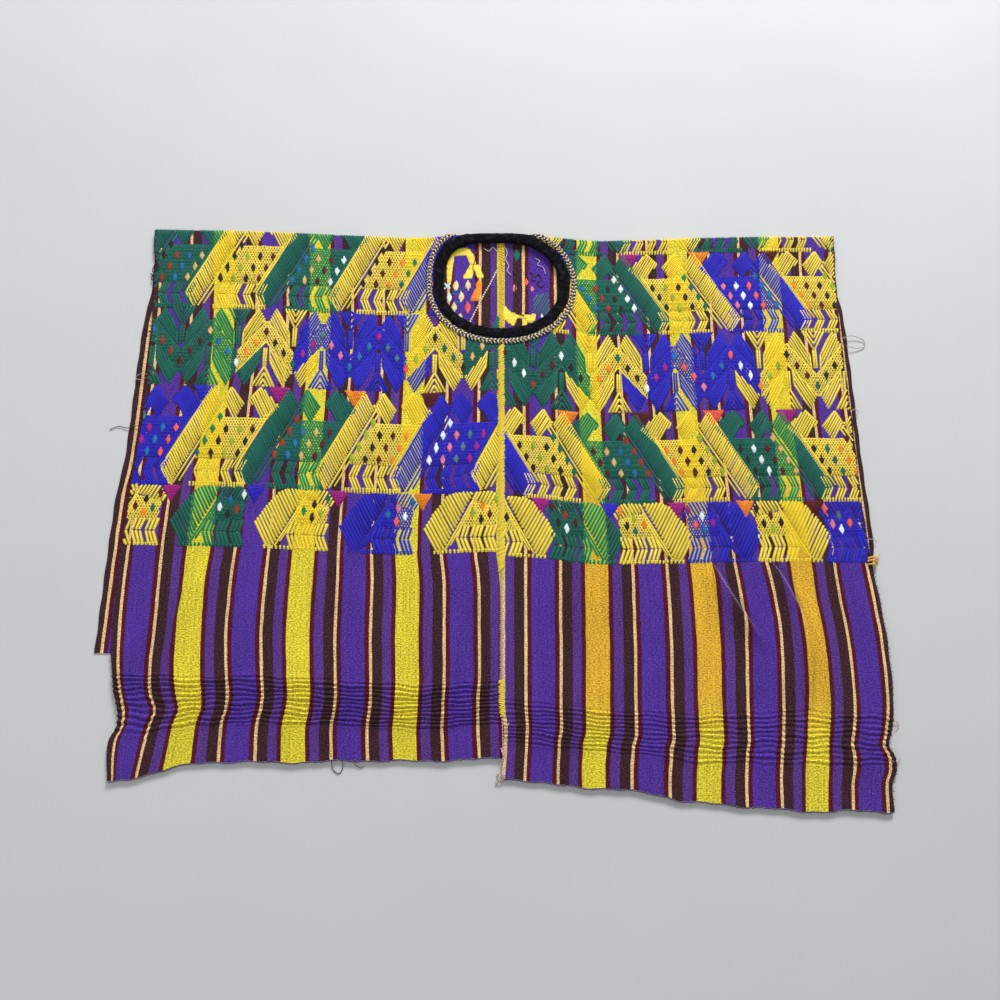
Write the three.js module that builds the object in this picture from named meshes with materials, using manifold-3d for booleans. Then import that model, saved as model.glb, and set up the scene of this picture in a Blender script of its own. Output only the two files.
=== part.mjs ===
// A two-panel huipil blouse, laid flat with its front up, built the way it is made: two lengths of
// striped cloth run from the back hem over the shoulder fold to the front hem, are joined down the
// middle, and have a round neck bound in velvet with a braid sewn outside the binding.
// Millimetres. X runs across the garment, Y points from the hems to the shoulder fold, Z is up.
// A place on a panel is given by "across", its X on the relaxed cloth, and by "down", the distance
// along the cloth from the shoulder fold: positive on the front, negative on the back.
import * as THREE from "three";
import { mergeVertices } from "three/addons/utils/BufferGeometryUtils.js";
import Module from "manifold-3d";

const wasm = await Module();
wasm.setup();

// Cloth
const clothHalf = 0.8; // half the thickness of the plain weave
const brocadeRelief = 0.5; // how far the brocaded rows stand out
const reliefFade = 3; // the flattened underside starts this far past the fold
const ribRelief = 0.9; // how far the heavy weft ribs above a hem stand out
const ribPitch = 6.2;
const ribCount = 8;
const foldRadius = 2.4; // middle of the wall, round the shoulder fold
const layerGap = 1.2; // between the front and the back
const seamX = 1.5;
const seamGap = 0.3;

// Neck opening and its trims
const neck = { x: 2, y: -70, halfWidth: 72, halfHeight: 58, squareTop: 3.2, squareBottom: 2.1 };
const neckArcs = [
  { from: 0, to: 26, stations: 4 },
  { from: 26, to: 70, stations: 15 },
  { from: 70, to: 110, stations: 10 },
  { from: 110, to: 154, stations: 15 },
  { from: 154, to: 360, stations: 26 },
];
const cutInset = 3.5; // from the binding's inner edge to the cut edge of the cloth
const binding = { width: 13, innerWidth: 7.5, leaf: 1.2, clearance: 0.65 };
const braid = { start: 13.6, width: 8.8, thickness: 1.2, clearance: 0.6 };
const neckRise = 1.7; // how far the binding holds the front up
const braidRise = 2.3; // how far the braid holds the back of the neck off the table

// Where the shoulder fold lies across the garment
const foldLine = [
  { across: -436, y: 8 },
  { across: -300, y: 5 },
  { across: -200, y: 0 },
  { across: -95, y: -4 },
  { across: -50, y: -1.8 },
  { across: 0, y: -0.5 },
  { across: 50, y: -2.5 },
  { across: 97, y: -7.2 },
  { across: 150, y: -7.8 },
  { across: 300, y: -3 },
  { across: 443, y: -2 },
];

// Sideways shift of the two seam edges: joined down to the slit at the front, and all down the back
const seamLine = [
  { down: 0, left: 0, right: 0 },
  { down: 575, left: 0, right: 0 },
  { down: 590, left: 0, right: 1 },
  { down: 602, left: 0.6, right: 2.4 },
  { down: 612, left: 0.8, right: 3 },
  { down: 640, left: 1, right: 1.6 },
  { down: 661, left: 1, right: 0 },
];
const backSeamLine = [
  { down: 0, left: 0, right: 0 },
  { down: 130, left: 0, right: 0 },
  { down: 300, left: -3, right: -3 },
  { down: 400, left: -8, right: -8 },
  { down: 565, left: -16, right: -16 },
];

// Sideways shift of the cloth on the table at each section, for the stripes named in "guides".
// The brocaded part is drawn in, and the ribs above the hems pucker the edges.
const leftPanel = {
  name: "left_panel",
  edges: [-438.5, seamX - seamGap / 2],
  guides: { edge: -435.5, near: -392, third: -311.5, inner: -27.5 },
  seamSide: "left",
  sections: [
    { down: 0, edge: 1.5, near: 1.5, third: 1, inner: 0 },
    { down: 60, edge: 6, near: 6, third: 5, inner: 0 },
    { down: 150, edge: 10, near: 11, third: 9, inner: 0 },
    { down: 250, edge: 9, near: 8, third: 6, inner: -1 },
    { down: 330, edge: 4, near: 4, third: 5, inner: -3 },
    { down: 400, edge: 1.5, near: 0.5, third: 3, inner: -4 },
    { down: 440, edge: 0, near: 0, third: 0, inner: 0.5 },
    { down: 500, edge: 0, near: 0, third: -1.2, inner: 1.5 },
    { down: 545, edge: 3.5, near: -1, third: 2, inner: 2 },
    { down: 570, edge: 9, near: 2, third: 5.5, inner: 0.5 },
    { down: 586, edge: 15, near: 9, third: 5, inner: 0.5 },
    { down: 597, edge: 15.5, near: 5, third: 2, inner: 0.5 },
    { down: 608, edge: 8.5, near: 1.5, third: 0.5, inner: 0.5 },
    { down: 640, edge: 11, near: -5, third: 0.5, inner: 2.5 },
  ],
  backSections: [
    { down: 0, edge: 1.5, near: 1.5, third: 1, inner: 0 },
    { down: 80, edge: 4, near: 4, third: 3, inner: 0 },
    { down: 130, edge: -2, near: 0, third: 2, inner: 0 },
    { down: 300, edge: -7.5, near: -6, third: -4, inner: -3 },
    { down: 350, edge: -13.5, near: -11, third: -7, inner: -6 },
    { down: 530, edge: -19, near: -18, third: -17, inner: -16 },
  ],
  frontEnd: 640,
  backEnd: 529,
  brocadeEnd: 403,
  hem: [
    { across: -438.5, sag: 27 },
    { across: -400, sag: 23 },
    { across: -365, sag: 14 },
    { across: -330, sag: 5 },
    { across: -280, sag: 2 },
    { across: -235, sag: 0 },
    { across: -180, sag: -4 },
    { across: -120, sag: -7 },
    { across: -60, sag: -6.5 },
    { across: 1.5, sag: -6 },
  ],
  columns: [
    { to: -390, step: 15 },
    { to: -330, step: 12 },
    { to: -100, step: 26 },
    { to: -36, step: 8.5 },
    { to: seamX, step: 13 },
  ],
};

const rightPanel = {
  name: "right_panel",
  edges: [seamX + seamGap / 2, 443],
  guides: { first: 110, second: 232.4, ridge: 313.7, third: 354.8, edge: 443 },
  seamSide: "right",
  sections: [
    { down: 0, first: -1, second: -10, ridge: -14, third: -17, edge: -22 },
    { down: 120, first: -4, second: -11.5, ridge: -15, third: -18.5, edge: -25 },
    { down: 250, first: -1.5, second: -8, ridge: -12, third: -16.5, edge: -21 },
    { down: 330, first: 0, second: -4, ridge: -10, third: -13, edge: -20 },
    { down: 400, first: 1, second: -1.5, ridge: -8, third: -9, edge: -16 },
    { down: 445, first: 0.5, second: 1.5, ridge: -1, third: -7, edge: -11 },
    { down: 480, first: 0, second: 2.5, ridge: 3, third: -2.5, edge: -7.5 },
    { down: 510, first: 0, second: 2.5, ridge: 3.5, third: 0, edge: -6 },
    { down: 560, first: -1.5, second: 0.5, ridge: 1, third: -0.5, edge: -6.5 },
    { down: 590, first: -2, second: 0.5, ridge: -1.5, third: -4, edge: -12 },
    { down: 602, first: -3, second: 0.5, ridge: -3, third: -6, edge: -16 },
    { down: 612, first: -6, second: -2, ridge: -5, third: -7.5, edge: -11 },
    { down: 626, first: -7, second: -3.5, ridge: -7, third: -9.5, edge: -11 },
    { down: 636, first: -8, second: -5, ridge: -8, third: -10.5, edge: -16 },
    { down: 661, first: -8.5, second: -6.5, ridge: -9, third: -13, edge: -18 },
  ],
  backSections: [
    { down: 0, first: -1, second: -10, ridge: -14, third: -17, edge: -22 },
    { down: 70, first: -1, second: -10, ridge: -14, third: -17, edge: -24 },
    { down: 110, first: -2, second: -9, ridge: -13, third: -15, edge: -18 },
    { down: 300, first: -3, second: -5, ridge: -8, third: -10, edge: -13 },
    { down: 400, first: -7, second: -7, ridge: -8, third: -9, edge: -9.5 },
    { down: 430, first: -9, second: -9, ridge: -10, third: -11, edge: -15 },
    { down: 570, first: -16, second: -16, ridge: -17, third: -18, edge: -20 },
  ],
  frontEnd: 661,
  backEnd: 565,
  brocadeEnd: 408,
  hem: [
    { across: 1.5, sag: -7 },
    { across: 60, sag: -7.5 },
    { across: 90, sag: -11 },
    { across: 160, sag: -11.5 },
    { across: 185, sag: -8 },
    { across: 205, sag: -3 },
    { across: 240, sag: -2 },
    { across: 300, sag: 0.5 },
    { across: 360, sag: 0 },
    { across: 400, sag: -4 },
    { across: 443, sag: -5 },
  ],
  columns: [
    { to: 36, step: 12 },
    { to: 104, step: 8.5 },
    { to: 240, step: 26 },
    { to: 366, step: 13 },
    { to: 443, step: 20 },
  ],
};

// How much further the right panel's outer edge lies down than its distance from the fold
const rightSkew = [
  { down: 0, drop: 0 },
  { down: 400, drop: 6 },
  { down: 570, drop: 14 },
  { down: 661, drop: 32 },
];
const hemSagStart = 560; // the hems wander up and down from here

// The largest folds of the front: soft ridges with a gentle side towards the middle and a steep
// side towards the edge. They run through three places, given by across and down.
const ridges = [
  { panel: leftPanel, start: [-338, 412], middle: [-364, 490], end: [-380, 585], height: 6.5, gentle: 34, steep: 12 },
  { panel: leftPanel, start: [-40, 392], middle: [-27, 430], end: [-30, 480], height: 2.6, gentle: 20, steep: 9 },
  { panel: rightPanel, start: [246, 408], middle: [270, 462], end: [302, 512], height: 5.5, gentle: 30, steep: 10 },
  { panel: rightPanel, start: [318, 405], middle: [346, 480], end: [344, 580], height: 6.5, gentle: 30, steep: 11 },
];

const halfTurn = (Math.PI / 2) * foldRadius; // cloth from the fold's edge to the flat layer
const restHeight = clothHalf * 3 + layerGap; // middle of the front's wall where it lies flat

const smooth = (t) => {
  const k = Math.min(1, Math.max(0, t));
  return k * k * (3 - 2 * k);
};

// A smooth curve through a table's rows: the value of one column at a key
function along(rows, keyName, key, column) {
  const last = rows.length - 1;
  let i = 0;
  while (i < last - 1 && rows[i + 1][keyName] <= key) i++;
  const slope = (k) => {
    const a = rows[Math.max(0, k - 1)];
    const b = rows[Math.min(last, k + 1)];
    return (b[column] - a[column]) / (b[keyName] - a[keyName]);
  };
  const [p, q] = [rows[i], rows[i + 1]];
  const span = q[keyName] - p[keyName];
  const t = Math.min(1, Math.max(0, (key - p[keyName]) / span));
  const bend = t * (1 - t) * span;
  return (
    p[column] + (q[column] - p[column]) * smooth(t) +
    bend * ((1 - t) * slope(i) - t * slope(i + 1))
  );
}

const foldY = (across) => along(foldLine, "across", across, "y");

// The shift read off the panel's sections at this distance, then smoothed from guide to guide
function shift(panel, across, down) {
  const table = down >= 0 ? panel.sections : panel.backSections;
  const seam = down >= 0 ? seamLine : backSeamLine;
  const rows = Object.entries(panel.guides).map(([guide, at]) => ({
    at,
    by: along(table, "down", Math.abs(down), guide),
  }));
  rows.push({ at: seamX, by: along(seam, "down", Math.abs(down), panel.seamSide) });
  rows.sort((a, b) => a.at - b.at);
  return along(rows, "at", across, "by");
}

function drop(panel, across, down) {
  if (down < 0) return 0;
  const towardsHem = smooth((down - hemSagStart) / (panel.frontEnd - hemSagStart));
  const sag = along(panel.hem, "across", across, "sag") * towardsHem;
  if (panel === leftPanel) return sag;
  return sag + (along(rightSkew, "down", down, "drop") * (across - seamX)) / (panel.edges[1] - seamX);
}

// How far a place lies outside the neck opening's edge, in rough millimetres
function outsideNeck(x, y) {
  const power = y > neck.y ? neck.squareTop : neck.squareBottom;
  const wide = Math.pow(Math.abs(x - neck.x) / neck.halfWidth, power);
  const high = Math.pow(Math.abs(y - neck.y) / neck.halfHeight, power);
  return (Math.pow(wide + high, 1 / power) - 1) * Math.min(neck.halfWidth, neck.halfHeight);
}

function ridgeHeight(panel, across, down) {
  let height = 0;
  for (const ridge of ridges.filter((r) => r.panel === panel)) {
    const t = (down - ridge.start[1]) / (ridge.end[1] - ridge.start[1]);
    if (t <= 0 || t >= 1) continue;
    const path = [ridge.start, ridge.middle, ridge.end].map(([at, key]) => ({ key, at }));
    const outwards = Math.sign(ridge.end[0]);
    const off = (across - along(path, "key", down, "at")) * outwards;
    const side = off < 0 ? -off / ridge.gentle : off / ridge.steep;
    height += ridge.height * (1 - smooth(side)) * smooth(4 * t * (1 - t));
  }
  return height;
}

// Middle of the back's wall: flat on the table, lifted a little over the braid at the neck
function backHeight(across, down) {
  const sideways = 1 - smooth((Math.abs(across - neck.x) - 78) / 42);
  const inwards = 1 - smooth((Math.abs(down) - 16) / 30);
  return clothHalf + braidRise * sideways * inwards;
}

// Middle of the front's wall: high at the fold and round the neck, then resting on the back
function frontHeight(panel, across, down) {
  const atFold = backHeight(across, 0) + 2 * foldRadius - restHeight;
  const fold = atFold * (1 - smooth((down - halfTurn) / 48));
  const away = outsideNeck(across, foldY(across) - down) - (braid.start + braid.width);
  const round = neckRise * (1 - smooth(away / 36));
  const wave = 0.4 * (1 + Math.sin(across / 31 + down / 70) * Math.sin(down / 43)) * smooth((down - 200) / 100);
  return restHeight + Math.pow(fold ** 4 + round ** 4, 1 / 4) + wave + ridgeHeight(panel, across, down);
}

const panelAt = (across) => (across < seamX ? leftPanel : rightPanel);

// The point of a panel at a height above the middle of its wall, towards the outside
function onPanel(panel, across, down, above) {
  const x = across + shift(panel, across, down);
  const centreY = foldY(across) - foldRadius - clothHalf - brocadeRelief;
  if (Math.abs(down) <= halfTurn) {
    const angle = down / foldRadius;
    const reach = foldRadius + above;
    const z = backHeight(across, 0) + foldRadius;
    return new THREE.Vector3(x, centreY + reach * Math.cos(angle), z + reach * Math.sin(angle));
  }
  const y = centreY - (Math.abs(down) - halfTurn) - drop(panel, across, down);
  if (down < 0) return new THREE.Vector3(x, y, backHeight(across, down) - above);
  return new THREE.Vector3(x, y, frontHeight(panel, across, down) + above);
}

// Half thickness on the outer side: brocaded rows stand out, and so do the ribs above the front hem
function outerHalf(panel, down) {
  if (down < 0) return clothHalf + brocadeRelief * Math.max(0, 1 + down / reliefFade);
  if (down < panel.brocadeEnd) return clothHalf + brocadeRelief;
  const fromRibs = (down - ribStart(panel)) / ribPitch;
  const onCrest = fromRibs > 0 && fromRibs < ribCount && Math.abs(fromRibs % 1 - 0.5) < 0.2;
  return clothHalf + (onCrest ? ribRelief : 0);
}

const ribStart = (panel) => panel.frontEnd - 88;

// The sections of a panel along its length: where they are, and whether the plain inside uses them
function lengthStations(panel) {
  const stations = [];
  const add = (down, inside = true) => stations.push({ down, inside });
  for (const down of [panel.backEnd, 430, 350, 250, 130, 70, 40, 18, 10]) add(-down);
  const turns = 8;
  for (let i = 0; i <= turns; i++) add(halfTurn * ((2 * i) / turns - 1));
  const end = panel.brocadeEnd;
  const nearNeck = 11;
  const neckStep = 14.5;
  for (let i = 1; i <= nearNeck; i++) add(halfTurn + i * neckStep, i % 2 === 1);
  const from = halfTurn + nearNeck * neckStep;
  const rest = 10;
  for (let i = 1; i < rest; i++) add(from + ((end - 2 - from) * i) / rest, i % 2 === 0);
  add(end - 2, false);
  add(end);
  const folded = 9;
  for (let i = 1; i < folded; i++) add(end + ((ribStart(panel) - end) * i) / folded, i % 2 === 0);
  for (let rib = 0; rib < ribCount; rib++) {
    const base = ribStart(panel) + rib * ribPitch;
    add(base, rib % 3 === 0);
    add(base + ribPitch / 2, false);
  }
  add(ribStart(panel) + ribCount * ribPitch);
  add(panel.frontEnd - 14);
  add(panel.frontEnd);
  return stations.sort((a, b) => a.down - b.down);
}

function acrossStations(panel) {
  const stations = [panel.edges[0]];
  for (const { to, step } of panel.columns) {
    const from = stations.at(-1);
    const end = Math.min(Math.max(to, panel.edges[0]), panel.edges[1]);
    const count = Math.max(1, Math.round((end - from) / step));
    for (let i = 1; i <= count; i++) stations.push(from + ((end - from) * i) / count);
  }
  return stations;
}

// A closed geometry from vectors and triangles
function closedGeometry(points, faces) {
  const geometry = new THREE.BufferGeometry();
  geometry.setFromPoints(points);
  geometry.setIndex(faces.flat());
  return geometry;
}

// A panel's wall: an outer face, a plainer inner face, and the four cut edges between them
function panelWall(panel) {
  const columns = acrossStations(panel);
  const rows = lengthStations(panel);
  const insideRows = rows.filter((row) => row.inside);
  const width = columns.length;
  const points = [];
  for (const { down } of rows) {
    for (const across of columns) points.push(onPanel(panel, across, down, outerHalf(panel, down)));
  }
  const insideBase = points.length;
  for (const { down } of insideRows) {
    for (const across of columns) points.push(onPanel(panel, across, down, -clothHalf));
  }
  const outer = (row, column) => row * width + column;
  const inner = (row, column) => insideBase + row * width + column;
  const faces = [];
  for (let r = 0; r < rows.length - 1; r++) {
    for (let c = 0; c < width - 1; c++) {
      faces.push([outer(r, c), outer(r + 1, c), outer(r + 1, c + 1)]);
      faces.push([outer(r, c), outer(r + 1, c + 1), outer(r, c + 1)]);
    }
  }
  for (let r = 0; r < insideRows.length - 1; r++) {
    for (let c = 0; c < width - 1; c++) {
      faces.push([inner(r, c), inner(r + 1, c + 1), inner(r + 1, c)]);
      faces.push([inner(r, c), inner(r, c + 1), inner(r + 1, c + 1)]);
    }
  }
  const hem = (outerRow, innerRow, turned) => {
    for (let c = 0; c < width - 1; c++) {
      const [a, b, p, q] = [outer(outerRow, c), outer(outerRow, c + 1), inner(innerRow, c), inner(innerRow, c + 1)];
      faces.push(turned ? [a, q, b] : [a, b, q], turned ? [a, p, q] : [a, q, p]);
    }
  };
  hem(0, 0, false);
  hem(rows.length - 1, insideRows.length - 1, true);
  const edge = (column, turned) => {
    let k = 0;
    for (let r = 0; r < rows.length - 1; r++) {
      const face = [outer(r + 1, column), outer(r, column), inner(k, column)];
      faces.push(turned ? face.reverse() : face);
      if (rows[r + 1] === insideRows[k + 1]) {
        const step = [outer(r + 1, column), inner(k, column), inner(k + 1, column)];
        faces.push(turned ? step.reverse() : step);
        k++;
      }
    }
  };
  edge(0, false);
  edge(width - 1, true);
  return closedGeometry(points, faces);
}

// A place on a closed line round the neck, a distance outside the binding's inner edge
function roundNeck(angle, outside) {
  const [c, s] = [Math.cos(angle), Math.sin(angle)];
  const power = 2 / (s > 0 ? neck.squareTop : neck.squareBottom);
  return new THREE.Vector2(
    neck.x + (neck.halfWidth + outside) * Math.sign(c) * Math.abs(c) ** power,
    neck.y + (neck.halfHeight + outside) * Math.sign(s) * Math.abs(s) ** power,
  );
}

const neckAngles = neckArcs.flatMap(({ from, to, stations }) =>
  Array.from({ length: stations }, (_, i) => THREE.MathUtils.degToRad(from + ((to - from) * i) / stations)),
);

// A closed ring on the cloth: a section of places outside the neck edge and heights above the wall
function neckRing(section) {
  const points = [];
  const faces = [];
  const size = section.length;
  for (const angle of neckAngles) {
    for (const { outside, above, fromOuter } of section) {
      const at = roundNeck(angle, outside);
      const down = foldY(at.x) - at.y;
      const panel = panelAt(at.x);
      const base = fromOuter ? outerHalf(panel, down) : 0;
      points.push(onPanel(panel, at.x - shift(panel, at.x, down), down, base + above));
    }
  }
  for (let i = 0; i < neckAngles.length; i++) {
    const next = (i + 1) % neckAngles.length;
    for (let j = 0; j < size; j++) {
      const after = (j + 1) % size;
      const [a, b, c, d] = [i * size + j, i * size + after, next * size + after, next * size + j];
      const acrossFirst = points[a].distanceTo(points[c]) < points[b].distanceTo(points[d]);
      faces.push(...(acrossFirst ? [[a, c, b], [a, d, c]] : [[a, d, b], [b, d, c]]));
    }
  }
  return closedGeometry(points, faces);
}

// Velvet folded over the cut edge of the cloth: two leaves and a rounded roll between them
function bindingGeometry() {
  const { width, innerWidth, leaf, clearance } = binding;
  const top = clothHalf + brocadeRelief + clearance;
  const under = -clothHalf - clearance;
  const slotEnd = cutInset - 0.6;
  const at = (outside, above) => ({ outside, above });
  return neckRing([
    at(width, top),
    at(width, top + leaf * 0.6),
    at(width - 1.4, top + leaf),
    at(8.4, top + leaf * 1.15),
    at(5, top + leaf * 1.15),
    at(2.4, top + leaf * 0.9),
    at(0.6, top + leaf * 0.1),
    at(0, 0.2),
    at(0.7, under - leaf * 0.4),
    at(2.6, under - leaf),
    at(innerWidth, under - leaf * 0.7),
    at(innerWidth, under),
    at(slotEnd, under),
    at(slotEnd, top),
    at(7.6, top),
    at(9.4, top),
    at(11.2, top),
  ]);
}

function braidGeometry() {
  const { start, width, thickness, clearance } = braid;
  const at = (share, raised) => ({
    outside: start + width * share,
    above: clearance + thickness * raised,
    fromOuter: true,
  });
  return neckRing([
    at(1, 0),
    at(0.95, 0.7),
    at(0.68, 1),
    at(0.32, 1),
    at(0.05, 0.7),
    at(0, 0),
    at(0.2, 0),
    at(0.4, 0),
    at(0.6, 0),
    at(0.8, 0),
  ]);
}

// The opening's shape, stood up through the front only
function neckCutter() {
  const outline = new THREE.Shape();
  outline.setFromPoints(neckAngles.map((angle) => roundNeck(angle, cutInset)));
  const betweenLayers = 4.25;
  const cutter = new THREE.ExtrudeGeometry(outline, { depth: 30, bevelEnabled: false });
  return cutter.translate(0, 0, betweenLayers);
}

function solid(geometry) {
  const bare = geometry.clone();
  for (const name of ["normal", "uv"]) bare.deleteAttribute(name);
  const merged = mergeVertices(bare, 1e-4);
  return new wasm.Manifold(
    new wasm.Mesh({
      numProp: 3,
      vertProperties: new Float32Array(merged.attributes.position.array),
      triVerts: new Uint32Array(merged.index.array),
    }),
  );
}

function geometryOf(manifold) {
  const mesh = manifold.getMesh();
  const geometry = new THREE.BufferGeometry();
  geometry.setAttribute("position", new THREE.BufferAttribute(new Float32Array(mesh.vertProperties), 3));
  geometry.setIndex(new THREE.BufferAttribute(new Uint32Array(mesh.triVerts), 1));
  return geometry;
}

const finishes = {
  cloth: { color: 0x5a3ba0, roughness: 0.9 },
  velvet: { color: 0x0c0c10, roughness: 0.95 },
  braid: { color: 0x9a8462, roughness: 0.6, metalness: 0.3 },
};

function piece(name, geometry, finish) {
  const mesh = new THREE.Mesh(geometry, new THREE.MeshStandardMaterial(finishes[finish]));
  mesh.name = name;
  return mesh;
}

const huipil = new THREE.Group();
const cutter = solid(neckCutter());
for (const panel of [leftPanel, rightPanel]) {
  huipil.add(piece(panel.name, geometryOf(solid(panelWall(panel)).subtract(cutter)), "cloth"));
}
huipil.add(piece("neck_binding", bindingGeometry(), "velvet"));
huipil.add(piece("neck_braid", braidGeometry(), "braid"));

// The frame's origin is under the middle of the whole garment, on the table
const box = new THREE.Box3().setFromObject(huipil);
const middle = box.getCenter(new THREE.Vector3());
huipil.position.set(-middle.x, -middle.y, -box.min.z);

export default huipil;
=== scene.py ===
import math

import bpy
import numpy as np
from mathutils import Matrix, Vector


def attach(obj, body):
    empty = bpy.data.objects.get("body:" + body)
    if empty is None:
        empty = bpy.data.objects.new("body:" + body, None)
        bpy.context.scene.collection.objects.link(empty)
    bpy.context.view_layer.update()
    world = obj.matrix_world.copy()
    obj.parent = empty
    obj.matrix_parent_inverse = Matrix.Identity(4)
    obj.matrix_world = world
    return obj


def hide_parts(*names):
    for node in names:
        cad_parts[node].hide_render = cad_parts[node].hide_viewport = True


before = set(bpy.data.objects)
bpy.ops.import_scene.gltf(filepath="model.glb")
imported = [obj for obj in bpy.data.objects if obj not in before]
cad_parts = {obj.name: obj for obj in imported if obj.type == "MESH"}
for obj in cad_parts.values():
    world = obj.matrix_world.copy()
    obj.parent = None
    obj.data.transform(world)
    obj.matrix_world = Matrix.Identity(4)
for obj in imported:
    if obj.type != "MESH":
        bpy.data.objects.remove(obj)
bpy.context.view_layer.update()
print("frame loaded")


# Places on the cloth

def table(names, *rows):
    return dict(zip(names.split(), np.array(rows, float).T))


def fold(panel, height, gentle, steep, *places):
    # a crease through places given by across and down, and the reach of its two sides
    across, down = np.array(places, float).T
    sides = {"gentle": gentle, "steep": steep}
    return {"panel": panel, "height": height, "across": across, "down": down, **sides}


cloth = {
    "outer": 0.8,  # from the middle of the wall to its faces
    "inner": 0.6,
    "relief": 0.5,
    "foldRadius": 2.4,
    "layerGap": 1.2,
    "seamX": 1.5,
    "seamGap": 0.3,
    "cell": 4.6,
}
neck = {
    "x": 2,
    "y": -70,
    "halfWidth": 72,
    "halfHeight": 58,
    "squareTopLeft": 3.2,
    "squareTopRight": 2.1,
    "squareBottom": 2.1,
    "dip": 1.2,
    "cut": 3.5,
    "rise": 1.7,
    "braidRise": 2.3,
}
halfTurn = math.pi / 2 * cloth["foldRadius"]
restHeight = 3 * cloth["outer"] + cloth["layerGap"]

foldLine = table(
    "across y",
    (-436, 8), (-300, 5), (-200, 0), (-95, -4), (-50, -1.8), (0, -0.5),
    (50, -2.5), (97, -7.2), (150, -7.8), (300, -3), (443, -2),
)
seamFront = table(
    "down left right",
    (0, 0, 0), (575, 0, 0), (590, 0, 1), (602, 0.6, 2.4), (612, 0.8, 3), (640, 1, 1.6), (661, 1, 0),
)
seamBack = table(
    "down left right",
    (0, 0, 0), (130, 0, 0), (300, -3, -3), (400, -8, -8), (565, -16, -16),
)
leftPanel = {
    "name": "left_panel",
    "side": "left",
    "lean": 1,
    "edges": (-438.5, cloth["seamX"] - cloth["seamGap"] / 2),
    "guides": {"edge": -435.5, "near": -392, "third": -311.5, "inner": -27.5},
    "frontRows": table(
        "down edge near third inner",
        (0, 1.5, 1.5, 1, 0), (60, 6, 6, 5, 0), (150, 10, 11, 9, 0), (250, 9, 8, 6, -1),
        (330, 4, 4, 5, -3), (400, 1.5, 0.5, 3, -4), (440, 0, 0, 0, 0.5), (500, 0, 0, -1.2, 1.5),
        (545, 3.5, -1, 2, 2), (570, 9, 2, 5.5, 0.5), (586, 15, 9, 5, 0.5), (597, 15.5, 5, 2, 0.5),
        (608, 8.5, 1.5, 0.5, 0.5), (640, 11, -5, 0.5, 2.5),
    ),
    "backRows": table(
        "down edge near third inner",
        (0, 1.5, 1.5, 1, 0), (80, 4, 4, 3, 0), (130, -2, 0, 2, 0), (300, -7.5, -6, -4, -3),
        (350, -13.5, -11, -7, -6), (530, -19, -18, -17, -16),
    ),
    "hem": table(
        "across sag",
        (-438.5, 27), (-400, 23), (-365, 14), (-330, 5), (-280, 2), (-235, 0), (-180, -4), (-120, -7),
        (-60, -6.5), (1.5, -6),
    ),
    "folded": (-390, -330),
    "ribbed": 1.4,
    "frontEnd": 640,
    "backEnd": 529,
    "brocadeEnd": 403,
    "stripeStart": -363,
    "stripeRepeat": 122,
}
rightPanel = {
    "name": "right_panel",
    "side": "right",
    "lean": -1,
    "edges": (cloth["seamX"] + cloth["seamGap"] / 2, 443),
    "guides": {"first": 110, "second": 232.4, "ridge": 313.7, "third": 354.8, "edge": 443},
    "frontRows": table(
        "down first second ridge third edge",
        (0, -1, -10, -14, -17, -22), (120, -4, -11.5, -15, -18.5, -25), (250, -1.5, -8, -12, -16.5, -21),
        (330, 0, -4, -10, -13, -20), (400, 1, -1.5, -8, -9, -16), (445, 0.5, 1.5, -1, -7, -11),
        (480, 0, 2.5, 3, -2.5, -7.5), (510, 0, 2.5, 3.5, 0, -6), (560, -1.5, 0.5, 1, -0.5, -6.5),
        (590, -2, 0.5, -1.5, -4, -12), (602, -3, 0.5, -3, -6, -16), (612, -6, -2, -5, -7.5, -11),
        (626, -7, -3.5, -7, -9.5, -11), (636, -8, -5, -8, -10.5, -16), (661, -8.5, -6.5, -9, -13, -18),
    ),
    "backRows": table(
        "down first second ridge third edge",
        (0, -1, -10, -14, -17, -22), (70, -1, -10, -14, -17, -24), (110, -2, -9, -13, -15, -18),
        (300, -3, -5, -8, -10, -13), (400, -7, -7, -8, -9, -9.5), (430, -9, -9, -10, -11, -15),
        (570, -16, -16, -17, -18, -20),
    ),
    "hem": table(
        "across sag",
        (1.5, -7), (60, -7.5), (90, -11), (160, -11.5), (185, -8), (205, -3), (240, -2), (300, 0.5),
        (360, 0), (400, -4), (443, -5),
    ),
    "folded": (240, 356),
    "ribbed": 1.0,
    "frontEnd": 661,
    "backEnd": 565,
    "brocadeEnd": 408,
    "stripeStart": 97,
    "stripeRepeat": 122.4,
}
panels = (leftPanel, rightPanel)
rightDrop = table("down drop", (0, 0), (400, 6), (570, 14), (661, 32))
hemSagStart = 560

# The folds of the front: height, reach of the gentle and the steep side, and three places on the run
ridges = (
    fold(leftPanel, 7.5, 34, 10, (-338, 412), (-364, 490), (-380, 585)),
    fold(leftPanel, 3.2, 20, 8, (-40, 392), (-27, 430), (-30, 480)),
    fold(leftPanel, 1.8, 16, 10, (-412, 430), (-406, 500), (-414, 560)),
    fold(leftPanel, 1.3, 30, 20, (-215, 430), (-226, 520), (-212, 600)),
    fold(leftPanel, 1.1, 26, 18, (-130, 470), (-116, 545), (-120, 620)),
    fold(rightPanel, 7.0, 26, 4.8, (246, 408), (270, 462), (302, 512)),
    fold(rightPanel, 7.5, 27, 5.4, (318, 405), (346, 480), (344, 580)),
    fold(rightPanel, 1.3, 30, 18, (120, 470), (134, 560), (126, 640)),
    fold(rightPanel, 1.2, 26, 16, (196, 430), (206, 500), (200, 590)),
    fold(rightPanel, 2.2, 18, 11, (398, 540), (406, 595), (400, 650)),
)
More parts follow.
